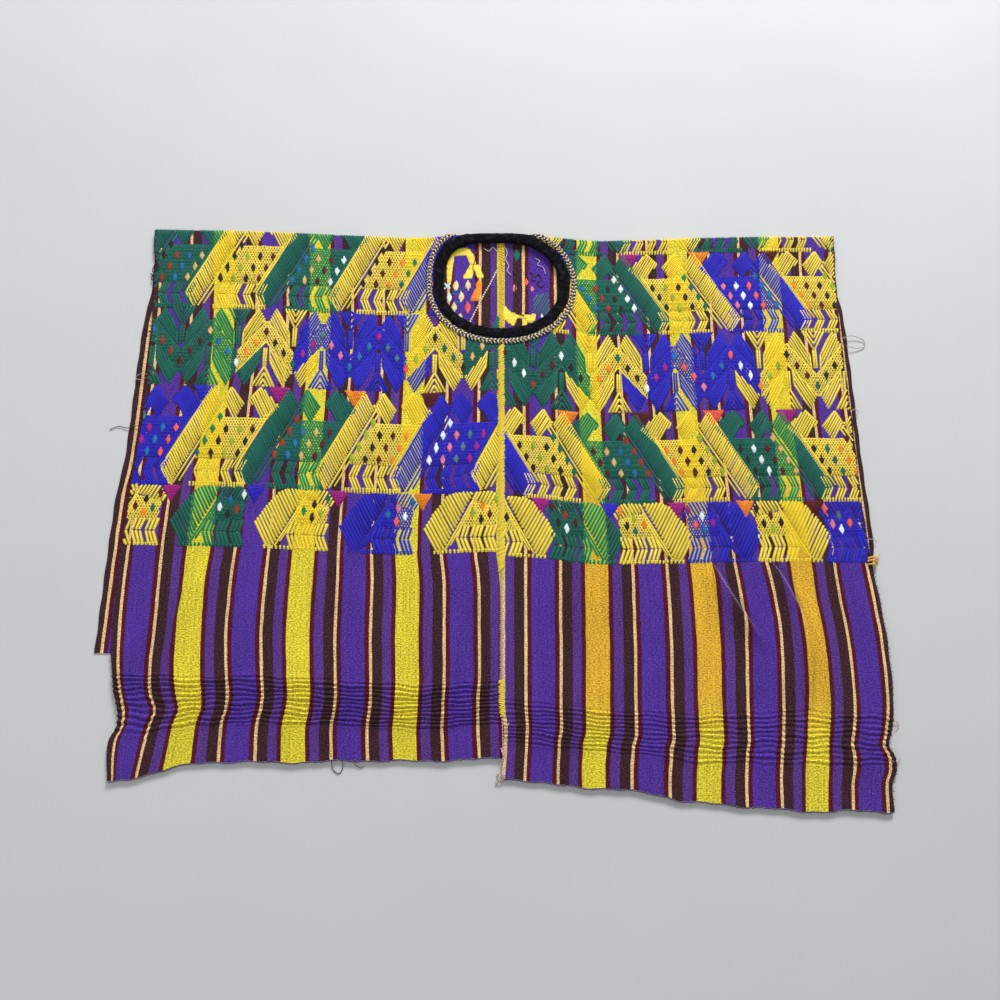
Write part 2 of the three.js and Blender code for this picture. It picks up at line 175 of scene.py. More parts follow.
# and the back's lower ones, which the front presses flat
backRidges = (
    fold(leftPanel, 1.0, 26, 10, (-352, -500), (-340, -400), (-356, -250)),
    fold(leftPanel, 0.8, 22, 12, (-150, -520), (-166, -430), (-158, -340)),
    fold(rightPanel, 0.9, 24, 10, (120, -560), (136, -450), (126, -300)),
    fold(rightPanel, 1.0, 26, 9, (330, -540), (318, -440), (338, -330)),
)
# A fold with a steep side narrower than "sharp" gets a painted highlight along its top and painted shade in a
# dark hollow beside it.
# "starts", "ends" and "fades" are lengths along it, the others widths across it.
paintedFoldLight = {"sharp": 6, "starts": 14, "ends": 88, "fades": 38, "top": 1.7, "hollow": 5, "hollowAt": 5.5}
ribs = {"above": 92, "pitch": 4.8, "count": 12, "height": 1.3}
backRibs = {"above": 80, "pitch": 5.7, "count": 8, "height": 0.5}


def smooth(t):
    k = np.clip(t, 0, 1)
    return k * k * (3 - 2 * k)


def curve(keys, values, at):
    # a smooth curve through a table's rows, whose values may differ from place to place
    last = len(keys) - 1
    i = np.clip(np.searchsorted(keys, at, side="right") - 1, 0, last - 1)
    spread = np.arange(len(at))

    def pick(k):
        return values[k, spread] if values.ndim > 1 else values[k]

    def slope(k):
        a, b = np.maximum(k - 1, 0), np.minimum(k + 1, last)
        return (pick(b) - pick(a)) / (keys[b] - keys[a])

    span = keys[i + 1] - keys[i]
    t = np.clip((at - keys[i]) / span, 0, 1)
    bend = t * (1 - t) * span
    return pick(i) + (pick(i + 1) - pick(i)) * smooth(t) + bend * ((1 - t) * slope(i) - t * slope(i + 1))


def foldY(across):
    return curve(foldLine["across"], foldLine["y"], across)


def shiftOf(panel, across, down):
    # sideways shift of the cloth as it lies on the table
    far = np.abs(down)
    moved = np.zeros(len(far))
    for rows, seam, here in (
        (panel["frontRows"], seamFront, down >= 0),
        (panel["backRows"], seamBack, down < 0),
    ):
        if not here.any():
            continue
        knots = [(at, curve(rows["down"], rows[name], far[here])) for name, at in panel["guides"].items()]
        knots.append((cloth["seamX"], curve(seam["down"], seam[panel["side"]], far[here])))
        knots.sort(key=lambda knot: knot[0])
        keys = np.array([knot[0] for knot in knots], float)
        moved[here] = curve(keys, np.array([knot[1] for knot in knots]), across[here])
    return moved


def dropOf(panel, across, down):
    towardsHem = smooth((down - hemSagStart) / (panel["frontEnd"] - hemSagStart))
    sag = curve(panel["hem"]["across"], panel["hem"]["sag"], across) * towardsHem
    if panel is leftPanel:
        return sag
    share = (across - cloth["seamX"]) / (panel["edges"][1] - cloth["seamX"])
    return sag + curve(rightDrop["down"], rightDrop["drop"], np.maximum(down, 0)) * share


def neckPower(x, y):
    # how square each quarter of the neck's edge is
    top = np.where(x > 0, neck["squareTopRight"], neck["squareTopLeft"])
    return np.where(y > 0, top, neck["squareBottom"])


def outsideNeck(x, y):
    # how far a place lies outside the neck's edge
    power = neckPower(x - neck["x"], y - neck["y"])
    acrossShare = (np.abs(x - neck["x"]) / neck["halfWidth"]) ** power
    upShare = (np.abs(y - neck["y"]) / neck["halfHeight"]) ** power
    return ((acrossShare + upShare) ** (1 / power) - 1) * min(neck["halfWidth"], neck["halfHeight"])


def ridgeHeight(panel, across, down, which=ridges):
    height = np.zeros(len(across))
    for ridge in which:
        if ridge["panel"] is not panel:
            continue
        at, keys = ridge["across"], ridge["down"]
        t = (down - keys[0]) / (keys[-1] - keys[0])
        off = (across - curve(keys, at, np.clip(down, keys[0], keys[-1]))) * np.sign(at[-1])
        side = np.where(off < 0, -off / ridge["gentle"], off / ridge["steep"])
        here = (t > 0) & (t < 1)
        height += np.where(here, ridge["height"] * (1 - smooth(side)) * smooth(4 * t * (1 - t)), 0)
    return height


def backHeight(across, down):
    sideways = 1 - smooth((np.abs(across - neck["x"]) - 78) / 42)
    inwards = 1 - smooth((np.abs(down) - 16) / 30)
    return cloth["outer"] + neck["braidRise"] * sideways * inwards


def frontHeight(panel, across, down):
    atFold = backHeight(across, np.zeros(len(across))) + 2 * cloth["foldRadius"] - restHeight
    fold = atFold * (1 - smooth((down - halfTurn) / 48))
    away = outsideNeck(across, foldY(across) - down) - 22.4
    around = neck["rise"] * (1 - smooth(away / 36))
    wave = 0.4 * (1 + np.sin(across / 31 + down / 70) * np.sin(down / 43)) * smooth((down - 200) / 100)
    return restHeight + (fold**4 + around**4) ** 0.25 + wave + ridgeHeight(panel, across, down)


def onPanel(panel, across, down, above):
    # points at a height over the middle of the wall, towards the garment's outside
    across, down, above = np.broadcast_arrays(
        np.asarray(across, float), np.asarray(down, float), np.asarray(above, float)
    )
    shape = across.shape
    across, down, above = across.ravel(), down.ravel(), above.ravel()
    x = across + shiftOf(panel, across, down)
    centreY = foldY(across) - cloth["foldRadius"] - cloth["outer"] - cloth["relief"]
    angle = np.clip(down, -halfTurn, halfTurn) / cloth["foldRadius"]
    reach = cloth["foldRadius"] + above
    flatY = centreY - (np.abs(down) - halfTurn) - dropOf(panel, across, down) * (down > halfTurn)
    onFold = np.abs(down) <= halfTurn
    foldZ = backHeight(across, np.zeros(len(across))) + cloth["foldRadius"] + reach * np.sin(angle)
    backZ = backHeight(across, down) + ridgeHeight(panel, across, down, backRidges) - above
    flatZ = np.where(down < 0, backZ, frontHeight(panel, across, down) + above)
    y = np.where(onFold, centreY + reach * np.cos(angle), flatY)
    points = np.stack([x, y, np.where(onFold, foldZ, flatZ)], axis=-1)
    return points.reshape(*shape, 3)


# The frame's origin is under the middle of the whole garment
rimPoints = []
for panel in panels:
    acrossRim, downRim = np.meshgrid(
        np.linspace(*panel["edges"], 60), np.linspace(-panel["backEnd"], panel["frontEnd"], 500)
    )
    rimPoints.append(onPanel(panel, acrossRim, downRim, cloth["outer"]).reshape(-1, 3))
rimPoints = np.concatenate(rimPoints)
frameMiddle = (rimPoints.min(axis=0) + rimPoints.max(axis=0)) / 2
frameMiddle[2] = 0


def toMetres(points):
    return (np.asarray(points).reshape(-1, 3) - frameMiddle) / 1000


def acrossAt(panel, x, down):
    # the place on the relaxed cloth that now lies at this X
    across = x - shiftOf(panel, x, down)
    return x - shiftOf(panel, across, down)


# Colours and finishes

def tint(red, green, blue):
    # from the 0 to 255 that a colour picker shows
    parts = [value / 255 for value in (red, green, blue)]
    return tuple(p / 12.92 if p < 0.04045 else ((p + 0.055) / 1.055) ** 2.4 for p in parts) + (1.0,)


dyes = {
    "plum": tint(80, 47, 152),
    "grape": tint(88, 52, 136),
    "maroon": tint(84, 10, 30),
    "brown": tint(58, 29, 32),
    "cream": tint(234, 198, 138),
    "lemon": tint(226, 208, 52),
    "marigold": tint(226, 172, 46),
    "yellow": tint(246, 214, 44),
    "pine": tint(18, 98, 84),
    "blue": tint(38, 32, 190),
    "magenta": tint(160, 24, 124),
    "coral": tint(238, 92, 70),
    "orange": tint(238, 136, 34),
    "rust": tint(150, 46, 30),
    "oxblood": tint(84, 18, 24),
    "soot": tint(34, 26, 26),
    "olive": tint(150, 170, 44),
    "slate": tint(70, 112, 118),
    "white": tint(226, 238, 236),
    "tan": tint(214, 176, 100),
    "rose": tint(216, 118, 134),
    "sea": tint(24, 104, 160),
    "straw": tint(232, 220, 150),
}


class Wire:
    # one socket's output, so that shader maths reads as sums
    def __init__(self, tree, socket):
        self.tree = tree
        self.socket = socket

    def maths(self, operation, *parts):
        made = self.tree.nodes.new("ShaderNodeMath")
        made.operation = operation
        for slot, part in zip(made.inputs, parts):
            if isinstance(part, Wire):
                self.tree.links.new(part.socket, slot)
            else:
                slot.default_value = part
        return Wire(self.tree, made.outputs[0])

    def __add__(self, other):
        return self.maths("ADD", self, other)

    def __radd__(self, other):
        return self.maths("ADD", other, self)

    def __sub__(self, other):
        return self.maths("SUBTRACT", self, other)

    def __rsub__(self, other):
        return self.maths("SUBTRACT", other, self)

    def __mul__(self, other):
        return self.maths("MULTIPLY", self, other)

    def __rmul__(self, other):
        return self.maths("MULTIPLY", other, self)

    def __truediv__(self, other):
        return self.maths("DIVIDE", self, other)

    def above(self, other):
        return self.maths("GREATER_THAN", self, other)

    def below(self, other):
        return self.maths("LESS_THAN", self, other)

    def sine(self):
        return self.maths("SINE", self)

    def fraction(self):
        return self.maths("FRACT", self)

    def floor(self):
        return self.maths("FLOOR", self)

    def size(self):
        return self.maths("ABSOLUTE", self)

    def clipped(self):
        return self.maths("MINIMUM", self.maths("MAXIMUM", self, 0.0), 1.0)

    def hump(self):
        # from 0 up to 1 and back, once in every unit
        wave = (self * math.pi).sine()
        return wave * wave


class Finish:
    # a material whose shader takes constants at once and links from wires
    def __init__(self, name, **shaderValues):
        self.material = bpy.data.materials.new(name)
        self.material.use_nodes = True
        self.tree = self.material.node_tree
        self.shader = self.tree.nodes["Principled BSDF"]
        for key, value in shaderValues.items():
            self.shader.inputs[key.replace("_", " ")].default_value = value

    def node(self, kind, settings, inputs, output=0):
        made = self.tree.nodes.new(kind)
        for key, value in settings.items():
            if key == "stops":
                self.stops(made.color_ramp, value)
            else:
                setattr(made, key, value)
        for key, value in inputs.items():
            if isinstance(value, Wire):
                self.tree.links.new(value.socket, made.inputs[key])
            else:
                made.inputs[key].default_value = value
        return Wire(self.tree, made.outputs[output])

    def stops(self, ramp, stops):
        ramp.interpolation = "CONSTANT"
        while len(ramp.elements) > 1:
            ramp.elements.remove(ramp.elements[-1])
        for index, (position, colour) in enumerate(stops):
            element = ramp.elements[0] if index == 0 else ramp.elements.new(position)
            element.position = position
            element.color = colour

    def unrolled(self):
        # the two values of the piece's own UV map
        place = self.node("ShaderNodeUVMap", {"uv_map": "cloth"}, {})
        first = self.node("ShaderNodeSeparateXYZ", {}, {"Vector": place})
        return first, Wire(self.tree, first.socket.node.outputs[1])

    def clothPlace(self):
        # across and down in millimetres
        return tuple(value * 1000 for value in self.unrolled())

    def stretched(self, x, y, scaleX, scaleY, detail=2.0):
        # noise on the cloth that can be drawn out along one thread
        spot = self.node("ShaderNodeCombineXYZ", {}, {"X": x * scaleX, "Y": y * scaleY})
        inputs = {"Vector": spot, "Scale": 1.0, "Detail": detail}
        return self.node("ShaderNodeTexNoise", {"noise_dimensions": "2D"}, inputs)

    def mix(self, factor, first, second, blend="MIX"):
        settings = {"data_type": "RGBA", "blend_type": blend}
        return self.node("ShaderNodeMix", settings, {0: factor, 6: first, 7: second}, output=2)

    def shaded(self, colour, shade):
        grey = self.node("ShaderNodeCombineColor", {}, {"Red": shade, "Green": shade, "Blue": shade})
        return self.mix(1.0, colour, grey, blend="MULTIPLY")

    def bump(self, height, distance, strength):
        inputs = {"Height": height, "Distance": distance, "Strength": strength}
        return self.node("ShaderNodeBump", {}, inputs)

    def feed(self, **links):
        for key, value in links.items():
            self.tree.links.new(value.socket, self.shader.inputs[key.replace("_", " ")])
        return self.material


# One repeat of the warp stripes, from a yellow one's left edge
stripeWidths = (
    ("lemon", 26), ("maroon", 4.8), ("grape", 10.4), ("brown", 11.4), ("cream", 3.4), ("maroon", 4.8),
    ("plum", 26.4), ("maroon", 4.8), ("cream", 3.4), ("brown", 11.8), ("grape", 10), ("maroon", 4.8),
)
stripeTotal = sum(width for _, width in stripeWidths)
lemonShare = stripeWidths[0][1] / stripeTotal
weft = {"warp": 0.95, "pick": 1.9}


def rubbedFolds(cotton, panel, colour, across, down):
    # painted highlight along the top of each sharp fold, and painted shade in a hollow beside its steep side
    for ridge in ridges:
        if ridge["panel"] is not panel or ridge["steep"] > paintedFoldLight["sharp"]:
            continue
        bend, slope, start = np.polyfit(ridge["down"], ridge["across"], 2).tolist()
        off = across - ((down * bend + slope) * down + start)
        past = down - float(ridge["down"][0])
        along = (past / paintedFoldLight["starts"]).clipped() * ((paintedFoldLight["ends"] - past) / paintedFoldLight["fades"]).clipped()
        top = (1 - (off / paintedFoldLight["top"]).size()).clipped() * along
        hollow = (1 - ((off - paintedFoldLight["hollowAt"]) / paintedFoldLight["hollow"]).size()).clipped() * along
        # a pale purple as the painted highlight, then a near black as the painted shade
        colour = cotton.mix(top * 0.42, colour, tint(184, 152, 196))
        colour = cotton.mix(hollow * 0.4, colour, tint(26, 12, 36))
    return colour


def clothFinish(panel):
    cotton = Finish(
        panel["name"].replace("_panel", "_striped_cotton"), Roughness=0.9, Specular_IOR_Level=0.14,
        Sheen_Weight=0.03, Sheen_Roughness=0.5,
    )
    across, down = cotton.clothPlace()
    wander = (cotton.stretched(across, down, 0.9, 0.05) - 0.5) * 1.1
    edgeAcross = across + wander
    repeat = ((edgeAcross - panel["stripeStart"]) / panel["stripeRepeat"] + 8).fraction()
    stops, reached = [], 0.0
    for dye, width in stripeWidths:
        stops.append((reached / stripeTotal, dyes[dye]))
        reached += width
    colour = cotton.node("ShaderNodeValToRGB", {"stops": stops}, {"Fac": repeat})
    front = down.above(0.0)
    if panel is rightPanel:
        # a warmer dye lot between the brocade and the ribs
        warm = ((down - 300) / 40).clipped() * (1 - ((down - 552) / 50).clipped()) * 0.92
        colour = cotton.mix(warm * repeat.below(lemonShare), colour, dyes["marigold"])
        colour = cotton.mix(edgeAcross.above(438.0), colour, dyes["brown"])
        atSeam = edgeAcross.below(5.8)
    else:
        colour = cotton.mix(edgeAcross.below(-435.4), colour, dyes["brown"])
        narrowing = ((down - 405) / 60).clipped() * 5.5
        atSeam = edgeAcross.above(narrowing - 3.6)
    paler = ((down - 430) / 40).clipped() * front
    seamColour = cotton.mix(paler, dyes["lemon"], dyes["cream"])
    colour = cotton.mix(atSeam, colour, seamColour)
    # painted highlight and painted shade along the sharp folds
    colour = rubbedFolds(cotton, panel, colour, across, down)
    # uneven yarns, a little fading, and the dark gaps between warp floats
    yarns = cotton.stretched(across, down, 1.1, 0.01, detail=3.0) - 0.5
    slubs = cotton.stretched(across, down, 0.42, 0.8, detail=4.0) - 0.5
    patches = cotton.stretched(across, down, 0.02, 0.014, detail=3.0) - 0.5
    yarn = across / weft["warp"]
    brick = down / weft["pick"] + yarn.floor() * 0.5
    grain = brick.hump() * 0.6 + yarn.hump() * 0.4
    colour = cotton.shaded(colour, 0.88 + yarns * 0.7 + slubs * 2.4 + patches * 0.4 + grain * 0.2)
    flecks = cotton.stretched(across, down, 0.55, 0.9, detail=3.0)
    colour = cotton.mix(((flecks - 0.57) * 4).clipped() * 0.2, colour, tint(198, 172, 206))
    height = grain * 0.7 + slubs * 2.4 + yarns * 0.5
    return cotton.feed(
        Base_Color=colour, Roughness=0.86 + slubs * 0.2, Normal=cotton.bump(height, 0.0006, 1.0)
    )


def floatFinish():
    floats = Finish(
        "brocade_floats", Roughness=0.75, Specular_IOR_Level=0.25, Sheen_Weight=0.06, Sheen_Roughness=0.4
    )
    across, down = floats.clothPlace()
    # the dye attribute holds each float's colour with painted shade along its sides and a painted highlight
    # along its top
    dyeAndPaintedShade = floats.node("ShaderNodeAttribute", {"attribute_name": "dye"}, {})
    picks = (down * (2 * math.pi / weft["pick"])).sine()
    fuzz = floats.stretched(across, down, 0.4, 1.1, detail=4.0) - 0.5
    worn = floats.stretched(across, down, 0.03, 0.03, detail=3.0) - 0.5
    colour = floats.shaded(dyeAndPaintedShade, 0.94 + fuzz * 0.55 + picks * 0.09 + worn * 0.25)
    return floats.feed(
        Base_Color=colour, Roughness=0.72 + fuzz * 0.3, Normal=floats.bump(picks * 0.8 + fuzz, 0.0004, 0.9)
    )


def velvetFinish():
    velvet = Finish(
        "black_velvet", Roughness=0.95, Specular_IOR_Level=0.12, Sheen_Weight=0.22, Sheen_Roughness=0.3,
        Sheen_Tint=tint(60, 66, 84),
    )
    along, around = velvet.clothPlace()
    nap = velvet.stretched(along, around, 1.4, 1.4, detail=3.0)
    worn = velvet.stretched(along, around, 0.16, 0.16, detail=4.0) - 0.5
    colour = velvet.mix((worn * 3).clipped() * nap, tint(5, 5, 8), tint(52, 54, 66))
    return velvet.feed(
        Base_Color=colour, Roughness=0.86 + nap * 0.12, Normal=velvet.bump(nap + worn * 4, 0.0009, 0.8)
    )


def threadFinish(name, dark, light, turns):
    # two plies twisted together, by the piece's own UV along and round the thread
    thread = Finish(name, Roughness=0.8, Specular_IOR_Level=0.25, Sheen_Weight=0.05, Sheen_Roughness=0.4)
    along, around = thread.unrolled()
    along = along * 1000
    ply = ((along * turns + around) * (2 * math.pi)).sine()
    spots = thread.stretched(along, around, 0.5, 3.0, detail=3.0)
    colour = thread.mix((ply * 0.9 + spots * 1.1).clipped(), dark, light)
    return thread.feed(
        Base_Color=colour, Roughness=0.6 + spots * 0.3, Normal=thread.bump(ply + spots, 0.0003, 0.8)
    )


leftCotton = clothFinish(leftPanel)
rightCotton = clothFinish(rightPanel)
brocadeYarn = floatFinish()
velvetPile = velvetFinish()
braidGold = threadFinish("braid_gold_and_cream", tint(150, 124, 92), tint(232, 220, 198), 0.3)
braidBrown = threadFinish("braid_brown", tint(20, 15, 18), tint(84, 66, 56), 0.22)
sewingYellow = threadFinish("yellow_sewing_thread", tint(208, 176, 40), tint(244, 226, 84), 0.5)
sewingOrange = threadFinish("orange_knot_thread", tint(206, 132, 30), tint(246, 190, 62), 0.5)
sewingDark = threadFinish("dark_sewing_thread", tint(40, 26, 36), tint(92, 66, 80), 0.5)
sewingPale = threadFinish("pale_loose_thread", tint(150, 120, 108), tint(214, 192, 178), 0.4)
sewingCream = threadFinish("cream_mending_thread", tint(206, 192, 160), tint(246, 238, 216), 0.4)
sewingRose = threadFinish("rose_slit_thread", tint(176, 96, 110), tint(236, 196, 190), 0.3)
hemEnds = threadFinish("purple_hem_ends", tint(40, 20, 34), tint(96, 62, 132), 0.2)
print("finishes made")


# Meshes and threads

def addObject(name, data):
    made = bpy.data.objects.new(name, data)
    bpy.context.scene.collection.objects.link(made)
    return made


def meshPiece(name, points, faces, material, places, coloursWithPaintedShade=None, sharpAngle=None):
    # places are across and down, or along and round, for each point
    mesh = bpy.data.meshes.new(name)
    mesh.from_pydata(toMetres(points).tolist(), [], faces)
    corners = np.zeros(len(mesh.loops), dtype=np.int32)
    mesh.loops.foreach_get("vertex_index", corners)
    layer = mesh.uv_layers.new(name="cloth")
    layer.data.foreach_set("uv", (places[corners] / 1000).ravel())
    if coloursWithPaintedShade is not None:
        # the floats' colours, with their painted shade and highlight, go in the dye attribute
        attribute = mesh.attributes.new("dye", "FLOAT_COLOR", "POINT")
        attribute.data.foreach_set("color", coloursWithPaintedShade.ravel())
    mesh.materials.append(material)
    mesh.shade_smooth()
    if sharpAngle:
        mesh.set_sharp_from_angle(angle=math.radians(sharpAngle))
    mesh.validate()
    piece = addObject(name, mesh)
    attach(piece, "root")
    return piece


def renumbered(used, total):
    # new numbers for the points in use, which are given in order
    numbers = np.full(total, -1)
    numbers[used] = np.arange(len(used))
    return numbers


def ringFaces(rings, size, closed):
    # the cells between rings of points that follow one another
    faces = []
    for i in range(rings if closed else rings - 1):
        a, b = i * size, (i + 1) % rings * size
        for j in range(size):
            k = (j + 1) % size
            faces.append((a + j, a + k, b + k, b + j))
    return faces


def tube(path, radius, sides=7, closed=False, squash=1.0):
    # points, faces and places of a round thread along a path of points in millimetres
    path = np.asarray(path, float)
    count = len(path)
    if closed:
        heading = np.roll(path, -1, axis=0) - np.roll(path, 1, axis=0)
    else:
        heading = np.gradient(path, axis=0)
    heading /= np.linalg.norm(heading, axis=1)[:, None]
    sideways = np.cross(heading, (0, 0, 1.0))
    weak = np.linalg.norm(sideways, axis=1) < 0.05
    sideways[weak] = (1.0, 0, 0)
    sideways /= np.linalg.norm(sideways, axis=1)[:, None]
    upwards = np.cross(sideways, heading)
    radii = np.broadcast_to(radius, (count,))[:, None, None]
    turn = np.arange(sides)[None, :, None] * 2 * math.pi / sides
    ring = sideways[:, None, :] * np.cos(turn) + upwards[:, None, :] * np.sin(turn) * squash
    points = (path[:, None, :] + ring * radii).reshape(-1, 3)
    run = np.concatenate([[0], np.cumsum(np.linalg.norm(np.diff(path, axis=0), axis=1))])
    places = np.stack([np.repeat(run, sides), np.tile(np.arange(sides) / sides * 1000, count)], axis=-1)
    faces = ringFaces(count, sides, closed)
    if not closed:
        faces.append(tuple(range(sides))[::-1])
        faces.append(tuple((count - 1) * sides + j for j in range(sides)))
    return points, faces, places


def joined(parts):
    # several points, faces and places as one
    points, faces, places, start = [], [], [], 0
    for partPoints, partFaces, partPlaces in parts:
        points.append(partPoints)
        places.append(partPlaces)
        faces.extend(tuple(index + start for index in face) for face in partFaces)
        start += len(partPoints)
    return np.concatenate(points), faces, np.concatenate(places)


# The two lengths of cloth

rowSteps = {"backHem": 6, "back": 7, "nearFold": 5, "fold": 0.6, "frontHem": 3}


def spaced(start, end, step):
    return list(np.linspace(start, end, max(2, round(abs(end - start) / step) + 1)))[:-1]


def clothRows(panel):
    ribStart = panel["frontEnd"] - ribs["above"]
    ribEnd = ribStart + ribs["count"] * ribs["pitch"]
    backStart = panel["backEnd"] - backRibs["above"]
    backDone = backStart + backRibs["count"] * backRibs["pitch"]
    nearFold = -halfTurn - 40
    rows = spaced(-panel["backEnd"], -backDone, rowSteps["backHem"])
    rows += spaced(-backDone, -backStart, backRibs["pitch"] / 3)
    rows += spaced(-backStart, nearFold, rowSteps["back"])
    rows += spaced(nearFold, -halfTurn, rowSteps["nearFold"])
    rows += spaced(-halfTurn, halfTurn, rowSteps["fold"])
    rows += spaced(halfTurn, panel["brocadeEnd"], cloth["cell"])
    rows += spaced(panel["brocadeEnd"], ribStart, cloth["cell"])
    rows += spaced(ribStart, ribEnd, ribs["pitch"] / 4)
    rows += spaced(ribEnd, panel["frontEnd"], rowSteps["frontHem"])
    return np.array(rows + [panel["frontEnd"]])


def ribbing(end, across, far, rib):
    # heavy wefts above a hem, uneven from place to place
    strayed = 1.6 * np.sin(across / 47) + 0.9 * np.sin(across / 13 + far / 9)
    strayed += 0.6 * np.sin(across / 5.9 - far / 7)
    count = (far + strayed - end + rib["above"]) / rib["pitch"]
    fade = smooth(count * 0.8) * smooth((rib["count"] - count) * 0.8)
    uneven = 0.78 + 0.22 * np.sin(across / 23 + np.floor(count) * 2.3)
    return rib["height"] * fade * uneven * (2 * np.sin(math.pi * count) ** 2 - 0.6)


def wallFace(down):
    # the back's wall is thinner, so that its floats and ribs still lie flat on the table
    return np.where(down < 0, 0.2 + 0.6 * smooth(1 + down / 5), cloth["outer"])


def hemWaver(across):
    return 0.9 * np.sin(across / 13) + 0.6 * np.sin(across / 5.3 + 1)


def openSides(cells):
    # the sides that only one cell has
    sides = {}
    for face in cells.tolist():
        for a, b in zip(face, face[1:] + face[:1]):
            if (b, a) in sides:
                del sides[(b, a)]
            else:
                sides[(a, b)] = True
    return list(sides)


def cutCloth(panel):
    # a grid over the cloth, less the cells in the neck, with the points round the cut moved onto it;
    # its columns stand closer where the sharp folds run
    (low, high), (start, end) = panel["edges"], panel["folded"]
    columns = spaced(low, start, cloth["cell"]) + spaced(start, end, cloth["cell"] / 2)
    columns = np.array(columns + spaced(end, high, cloth["cell"]) + [high])
    rows = clothRows(panel)
    across, down = np.meshgrid(columns, rows)
    across, down = across.ravel().copy(), down.ravel().copy()
    perRow = len(columns)
    corner = np.arange((len(rows) - 1) * perRow).reshape(-1, perRow)[:, :-1].ravel()
    cells = np.stack([corner, corner + perRow, corner + perRow + 1, corner + 1], axis=-1)

    def overNeck(a, d):
        x = a + shiftOf(panel, a, d)
        return np.where(d > halfTurn, outsideNeck(x, foldY(a) - d) - neck["cut"], 9.0)

    kept = overNeck(across[cells].mean(axis=1), down[cells].mean(axis=1)) > 0
    touched = np.zeros(len(across), bool)
    touched[cells[~kept]] = True
    inUse = np.zeros(len(across), bool)
    inUse[cells[kept]] = True
    rim = np.flatnonzero(touched & inUse)
    onEdge = np.isin(across[rim], panel["edges"])
    for _ in range(3):
        a, d = across[rim], down[rim]
        off = overNeck(a, d)
        slopeA = (overNeck(a + 0.2, d) - overNeck(a - 0.2, d)) / 0.4 * ~onEdge
        slopeD = (overNeck(a, d + 0.2) - overNeck(a, d - 0.2)) / 0.4
        size = np.maximum(slopeA**2 + slopeD**2, 0.1)
        across[rim] -= off * slopeA / size
        down[rim] = np.maximum(d - off * slopeD / size, halfTurn + 0.1)
    return across, down, cells[kept]


def clothShell(panel, material):
    across, down, cells = cutCloth(panel)
    lumps = 0.2 * np.sin(across / 9.1 + down / 17) * np.sin(down / 11.3 + across / 29)
    lumps += 0.3 * smooth((down - panel["brocadeEnd"]) / 30) * np.sin(across / 21 + down / 90) ** 3
    quiet = smooth((down - 20) / 40)
    ribbed = np.where(
        down > 0,
        ribbing(panel["frontEnd"], across, down, ribs) * panel["ribbed"],
        ribbing(panel["backEnd"], across, -down, backRibs),
    )
    outer = onPanel(panel, across, down, wallFace(down) + ribbed + lumps * quiet)
    inner = onPanel(panel, across, down, -cloth["inner"] + lumps * quiet)
    # the hem and the outer selvedges waver
    hem = smooth((down - panel["frontEnd"] + 12) / 12) * hemWaver(across)
    selvedge = np.minimum(np.abs(across - panel["edges"][0]), np.abs(across - panel["edges"][1]))
    draw = (1 - smooth(selvedge / 8)) * 0.45 * np.sin(down / 6.7 + across) * (np.abs(across) > 200)
    for layer in (outer, inner):
        layer[:, 1] -= hem
        layer[:, 0] += draw
    count = len(across)
    walls = np.array([(b, a, a + count, b + count) for a, b in openSides(cells)])
    faces = np.concatenate([cells, cells[:, ::-1] + count, walls])
    used = np.unique(faces)
    faces = renumbered(used, 2 * count)[faces].tolist()
    points = np.concatenate([outer, inner])[used]
    places = np.tile(np.stack([across, down], axis=-1), (2, 1))[used]
    name = panel["name"].replace("panel", "cloth")
    piece = meshPiece(name, points, faces, material, places, sharpAngle=60)
    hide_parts(panel["name"])
    return piece


leftCloth = clothShell(leftPanel, leftCotton)
rightCloth = clothShell(rightPanel, rightCotton)
print("cloth laid out", len(leftCloth.data.polygons), len(rightCloth.data.polygons))


# The brocade, charted as small repeats
# A motif's chart is in millimetres: x from its foot or middle, y up from the row's lower line.
# Lines lean one way or the other by "lean", as weft floats step sideways from pick to pick.

lean = 0.53
weave = {
    "hatch": 3.4,
    "lattice": 3.3,
    "hatchWidth": 2.0,
    "latticeWidth": 1.4,
    "rise": 0.8,
    "step": 2.2,
    "fill": 2.6,
}
wide = {"pine": 0.7, "blue": 0.6, "yellow": 0.0}  # the darker yarns are plumper, and cover more


def inside(polygon, leaning, pitch, phase=0.0):
    # the pieces of parallel leaning lines that lie in a polygon
    found = []
    points = [(x - leaning * y, y) for x, y in polygon]
    low, high = min(p[0] for p in points), max(p[0] for p in points)
    at = math.ceil((low - phase) / pitch) * pitch + phase
    while at < high:
        crossings = []
        for (x0, y0), (x1, y1) in zip(points, points[1:] + points[:1]):
            if (x0 <= at) != (x1 <= at):
                crossings.append(y0 + (y1 - y0) * (at - x0) / (x1 - x0))
        crossings.sort()
        for y0, y1 in zip(crossings[::2], crossings[1::2]):
            if y1 - y0 > 2:
                found.append((at + leaning * y0, y0, at + leaning * y1, y1))
        at += pitch
    return found


def hatch(polygon, leaning, dye, pitch=None, width=None):
    found = inside(polygon, leaning, pitch or weave["hatch"])
    thick = width or weave["hatchWidth"] + wide.get(dye, 0)
    return [(*line, thick, dye, 0) for line in found]


def lattice(polygon, dye, pitch=None, width=None):
    gap, thick = pitch or weave["lattice"], width or weave["latticeWidth"] + wide.get(dye, 0) * 0.5
    return hatch(polygon, lean, dye, gap, thick) + hatch(polygon, -lean, dye, gap, thick)


def fill(polygon, dye):
    # floats laid straight across, one above the other
    turned = inside([(y, x) for x, y in polygon], 0, weave["fill"])
    return [(x0, y, x1, y, weave["fill"] * 1.35, dye, 0) for y, x0, _, x1 in turned]


